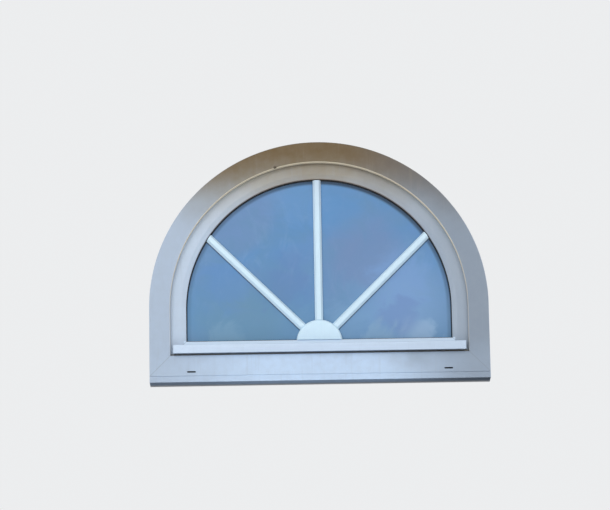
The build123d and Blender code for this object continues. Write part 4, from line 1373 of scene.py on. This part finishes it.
def make_lock_screws():
    """Screws in the curved faceplate and in the strikers."""
    y = y_of(GROOVE_V + GROOVE_WIDTH / 2)
    angles = [radians(angle) for angle in FACEPLATE_ANGLES]
    arc_screws("lock_faceplate_screws", "sash", FACEPLATE_SCREW, RADIUS - SASH_EDGE, y, angles, 1)
    for node in ("striker_left", "striker_centre", "striker_right"):
        lo, hi = span(node)
        middle = (lo + hi) / 2
        turn = atan2(middle.x, middle.z - SPRING_Z)
        angles = [turn + radians(step) for step in STRIKER_ANGLES]
        y = lo.y + STRIKER_SCREW_Y
        r = RADIUS - FRAME_REBATE - PLATE
        arc_screws(node + "_screws", "frame", STRIKER_SCREW, r, y, angles, -1)


def make_stay_screws():
    """Screws in the stays' plates on the sash's edge and in the studs' base plates."""
    lo, hi = span("stay_pivots")
    x, z = RADIUS - SASH_EDGE + PLATE, lo.z + PIVOT_LIFT
    rows = (lo.y + PIVOT_MARGIN, hi.y - PIVOT_MARGIN)
    places = [((side * x, y, z), (side, 0, 0)) for side in (-1, 1) for y in rows]
    screws("stay_pivot_screws", "sash", PIVOT_SCREW, places)
    lo, hi = span("stay_studs")
    x, y = RADIUS - FRAME_REBATE - PLATE, (lo.y + hi.y) / 2
    rows = (lo.z + STUD_MARGIN, hi.z - STUD_MARGIN)
    places = [((side * x, y, z), (-side, 0, 0)) for side in (-1, 1) for z in rows]
    screws("stay_stud_screws", "frame", STUD_SCREW, places)


# The softening bevel's width and the least angle it softens, and the carried-over solids
# that have it
EDGE_BEVEL = 0.5
BEVEL_ANGLE = radians(40)
SOFTENED = (
    "hinge_frame_leaves",
    "hinge_sash_leaves",
    "hinge_pins",
    "lock_faceplate",
    "striker_left",
    "striker_centre",
    "striker_right",
    "stay_arm_left",
    "stay_arm_right",
    "stay_pivots",
    "stay_studs",
)


def soften(node):
    """Small bevels on the edges of a carried-over solid."""
    obj = frame["nodes"][node]
    weld = obj.modifiers.new("weld", "WELD")
    weld.merge_threshold = MERGE_DISTANCE
    bevel = obj.modifiers.new("edges", "BEVEL")
    bevel.width = EDGE_BEVEL * MM
    bevel.segments = 2
    bevel.limit_method = "ANGLE"
    bevel.angle_limit = BEVEL_ANGLE
    bevel.harden_normals = True


# Stage, lights and camera

FLOOR_HALF = 9.0
FLOOR_Z = -0.0006
FLOOR_COLOUR = (0.68, 0.68, 0.69, 1)
FILL_COLOUR = (0.95, 0.97, 1.0, 1)
SURROUND_COLOUR = (0.84, 0.85, 0.86, 1)


def make_stage():
    """A pale floor that is seen from above only, so the low camera looks through it."""
    f = Finish("floor")
    far = f.node("ShaderNodeVectorMath", f.place, operation="LENGTH").outputs["Value"]
    rays = f.node("ShaderNodeLightPath").outputs
    glow = f.spread(far, 0.8, 6.5, 0.03, 0.48, smooth=True)
    lift = f.maths("MULTIPLY", rays["Is Camera Ray"], glow)
    f.surface(Base_Color=FLOOR_COLOUR, Roughness=0.9, Specular_IOR_Level=0.1)
    f.surface(Emission_Color=(1, 1, 1, 1), Emission_Strength=lift)
    below = f.node("ShaderNodeNewGeometry").outputs["Backfacing"]
    unseen = f.maths("MAXIMUM", below, rays["Is Shadow Ray"])
    surface = f.mixed(unseen, f.shader, f.node("ShaderNodeBsdfTransparent"))
    f.feed(surface, f.tree.nodes["Material Output"].inputs["Surface"])

    mesh = bpy.data.meshes.new("floor")
    corners = rectangle(-FLOOR_HALF, -FLOOR_HALF, FLOOR_HALF, FLOOR_HALF)
    mesh.from_pydata([(p.x, p.y, FLOOR_Z) for p in corners], [], [(0, 1, 2, 3)])
    mesh.materials.append(f.material)
    placed("floor", mesh)


def make_world():
    """A pale surround for the camera and reflections, and a plain soft fill for the rest."""
    world = bpy.data.worlds.new("studio")
    bpy.context.scene.world = world
    world.use_nodes = True
    f = Graph(world.node_tree)
    fill = f.tree.nodes["Background"]
    f.fill(fill, Color=FILL_COLOUR, Strength=0.5)
    seen = f.node("ShaderNodeBackground", SURROUND_COLOUR)
    rays = f.node("ShaderNodeLightPath").outputs
    direct = f.maths("MAXIMUM", rays["Is Camera Ray"], rays["Is Glossy Ray"])
    direct = f.maths("MAXIMUM", direct, rays["Is Transmission Ray"])
    f.feed(f.mixed(direct, fill, seen), f.tree.nodes["World Output"].inputs["Surface"])


# Lamps: name, place, the height they are aimed at, size in metres and watts
LAMPS = (
    ("key", (-1.4, -2.4, 1.7), 0.3, 1.6, 25),
    ("fill", (1.5, -2.5, 1.5), 0.3, 1.6, 15),
    ("low", (-0.4, -1.9, -1.4), 0.5, 1.8, 19),
    ("room", (1.2, 3.8, 2.6), 0.4, 2.8, 80),
)


def lamp(name, place, target, size, power):
    """A soft square lamp aimed at a point."""
    light = bpy.data.lights.new(name, "AREA")
    light.size = size
    light.energy = power
    obj = placed(name, light)
    obj.location = place
    aim = Vector(target) - Vector(place)
    obj.rotation_euler = aim.to_track_quat("-Z", "Y").to_euler()


def make_camera():
    """The photograph's view: from below, almost square on, with a slight roll."""
    width_px = 610
    metres_per_px = 0.00326
    distance = 12.0
    sensor = 36.0
    elevation = radians(-14.3)
    azimuth = radians(-0.35)
    roll = radians(-1.0)
    target = Vector((-0.0421, 0.0, 0.4247))
    camera = bpy.data.cameras.new("camera")
    camera.sensor_width = sensor
    camera.lens = sensor * distance / (width_px * metres_per_px)
    camera.clip_end = 100.0
    level = cos(elevation)
    view = Vector((-sin(azimuth) * level, cos(azimuth) * level, -sin(elevation)))
    turn = view.to_track_quat("-Z", "Y").to_matrix() @ Matrix.Rotation(roll, 3, "Z")
    obj = placed("camera", camera)
    obj.location = target - view * distance
    obj.rotation_euler = turn.to_euler()
    bpy.context.scene.camera = obj


dress_frame_nodes()
make_frame()
make_sill()
make_sash()
make_beads()
make_gaskets()
make_sunburst()
make_weather_rail()
make_rosette()
make_lever()
make_hinge_screws()
make_lock_screws()
make_stay_screws()
for node in SOFTENED:
    soften(node)
make_stage()
make_world()
for name, place, aim_z, size, watts in LAMPS:
    lamp(name, place, (0.0, 0.0, aim_z), size, watts)
make_camera()
bpy.context.scene.view_settings.view_transform = "Standard"
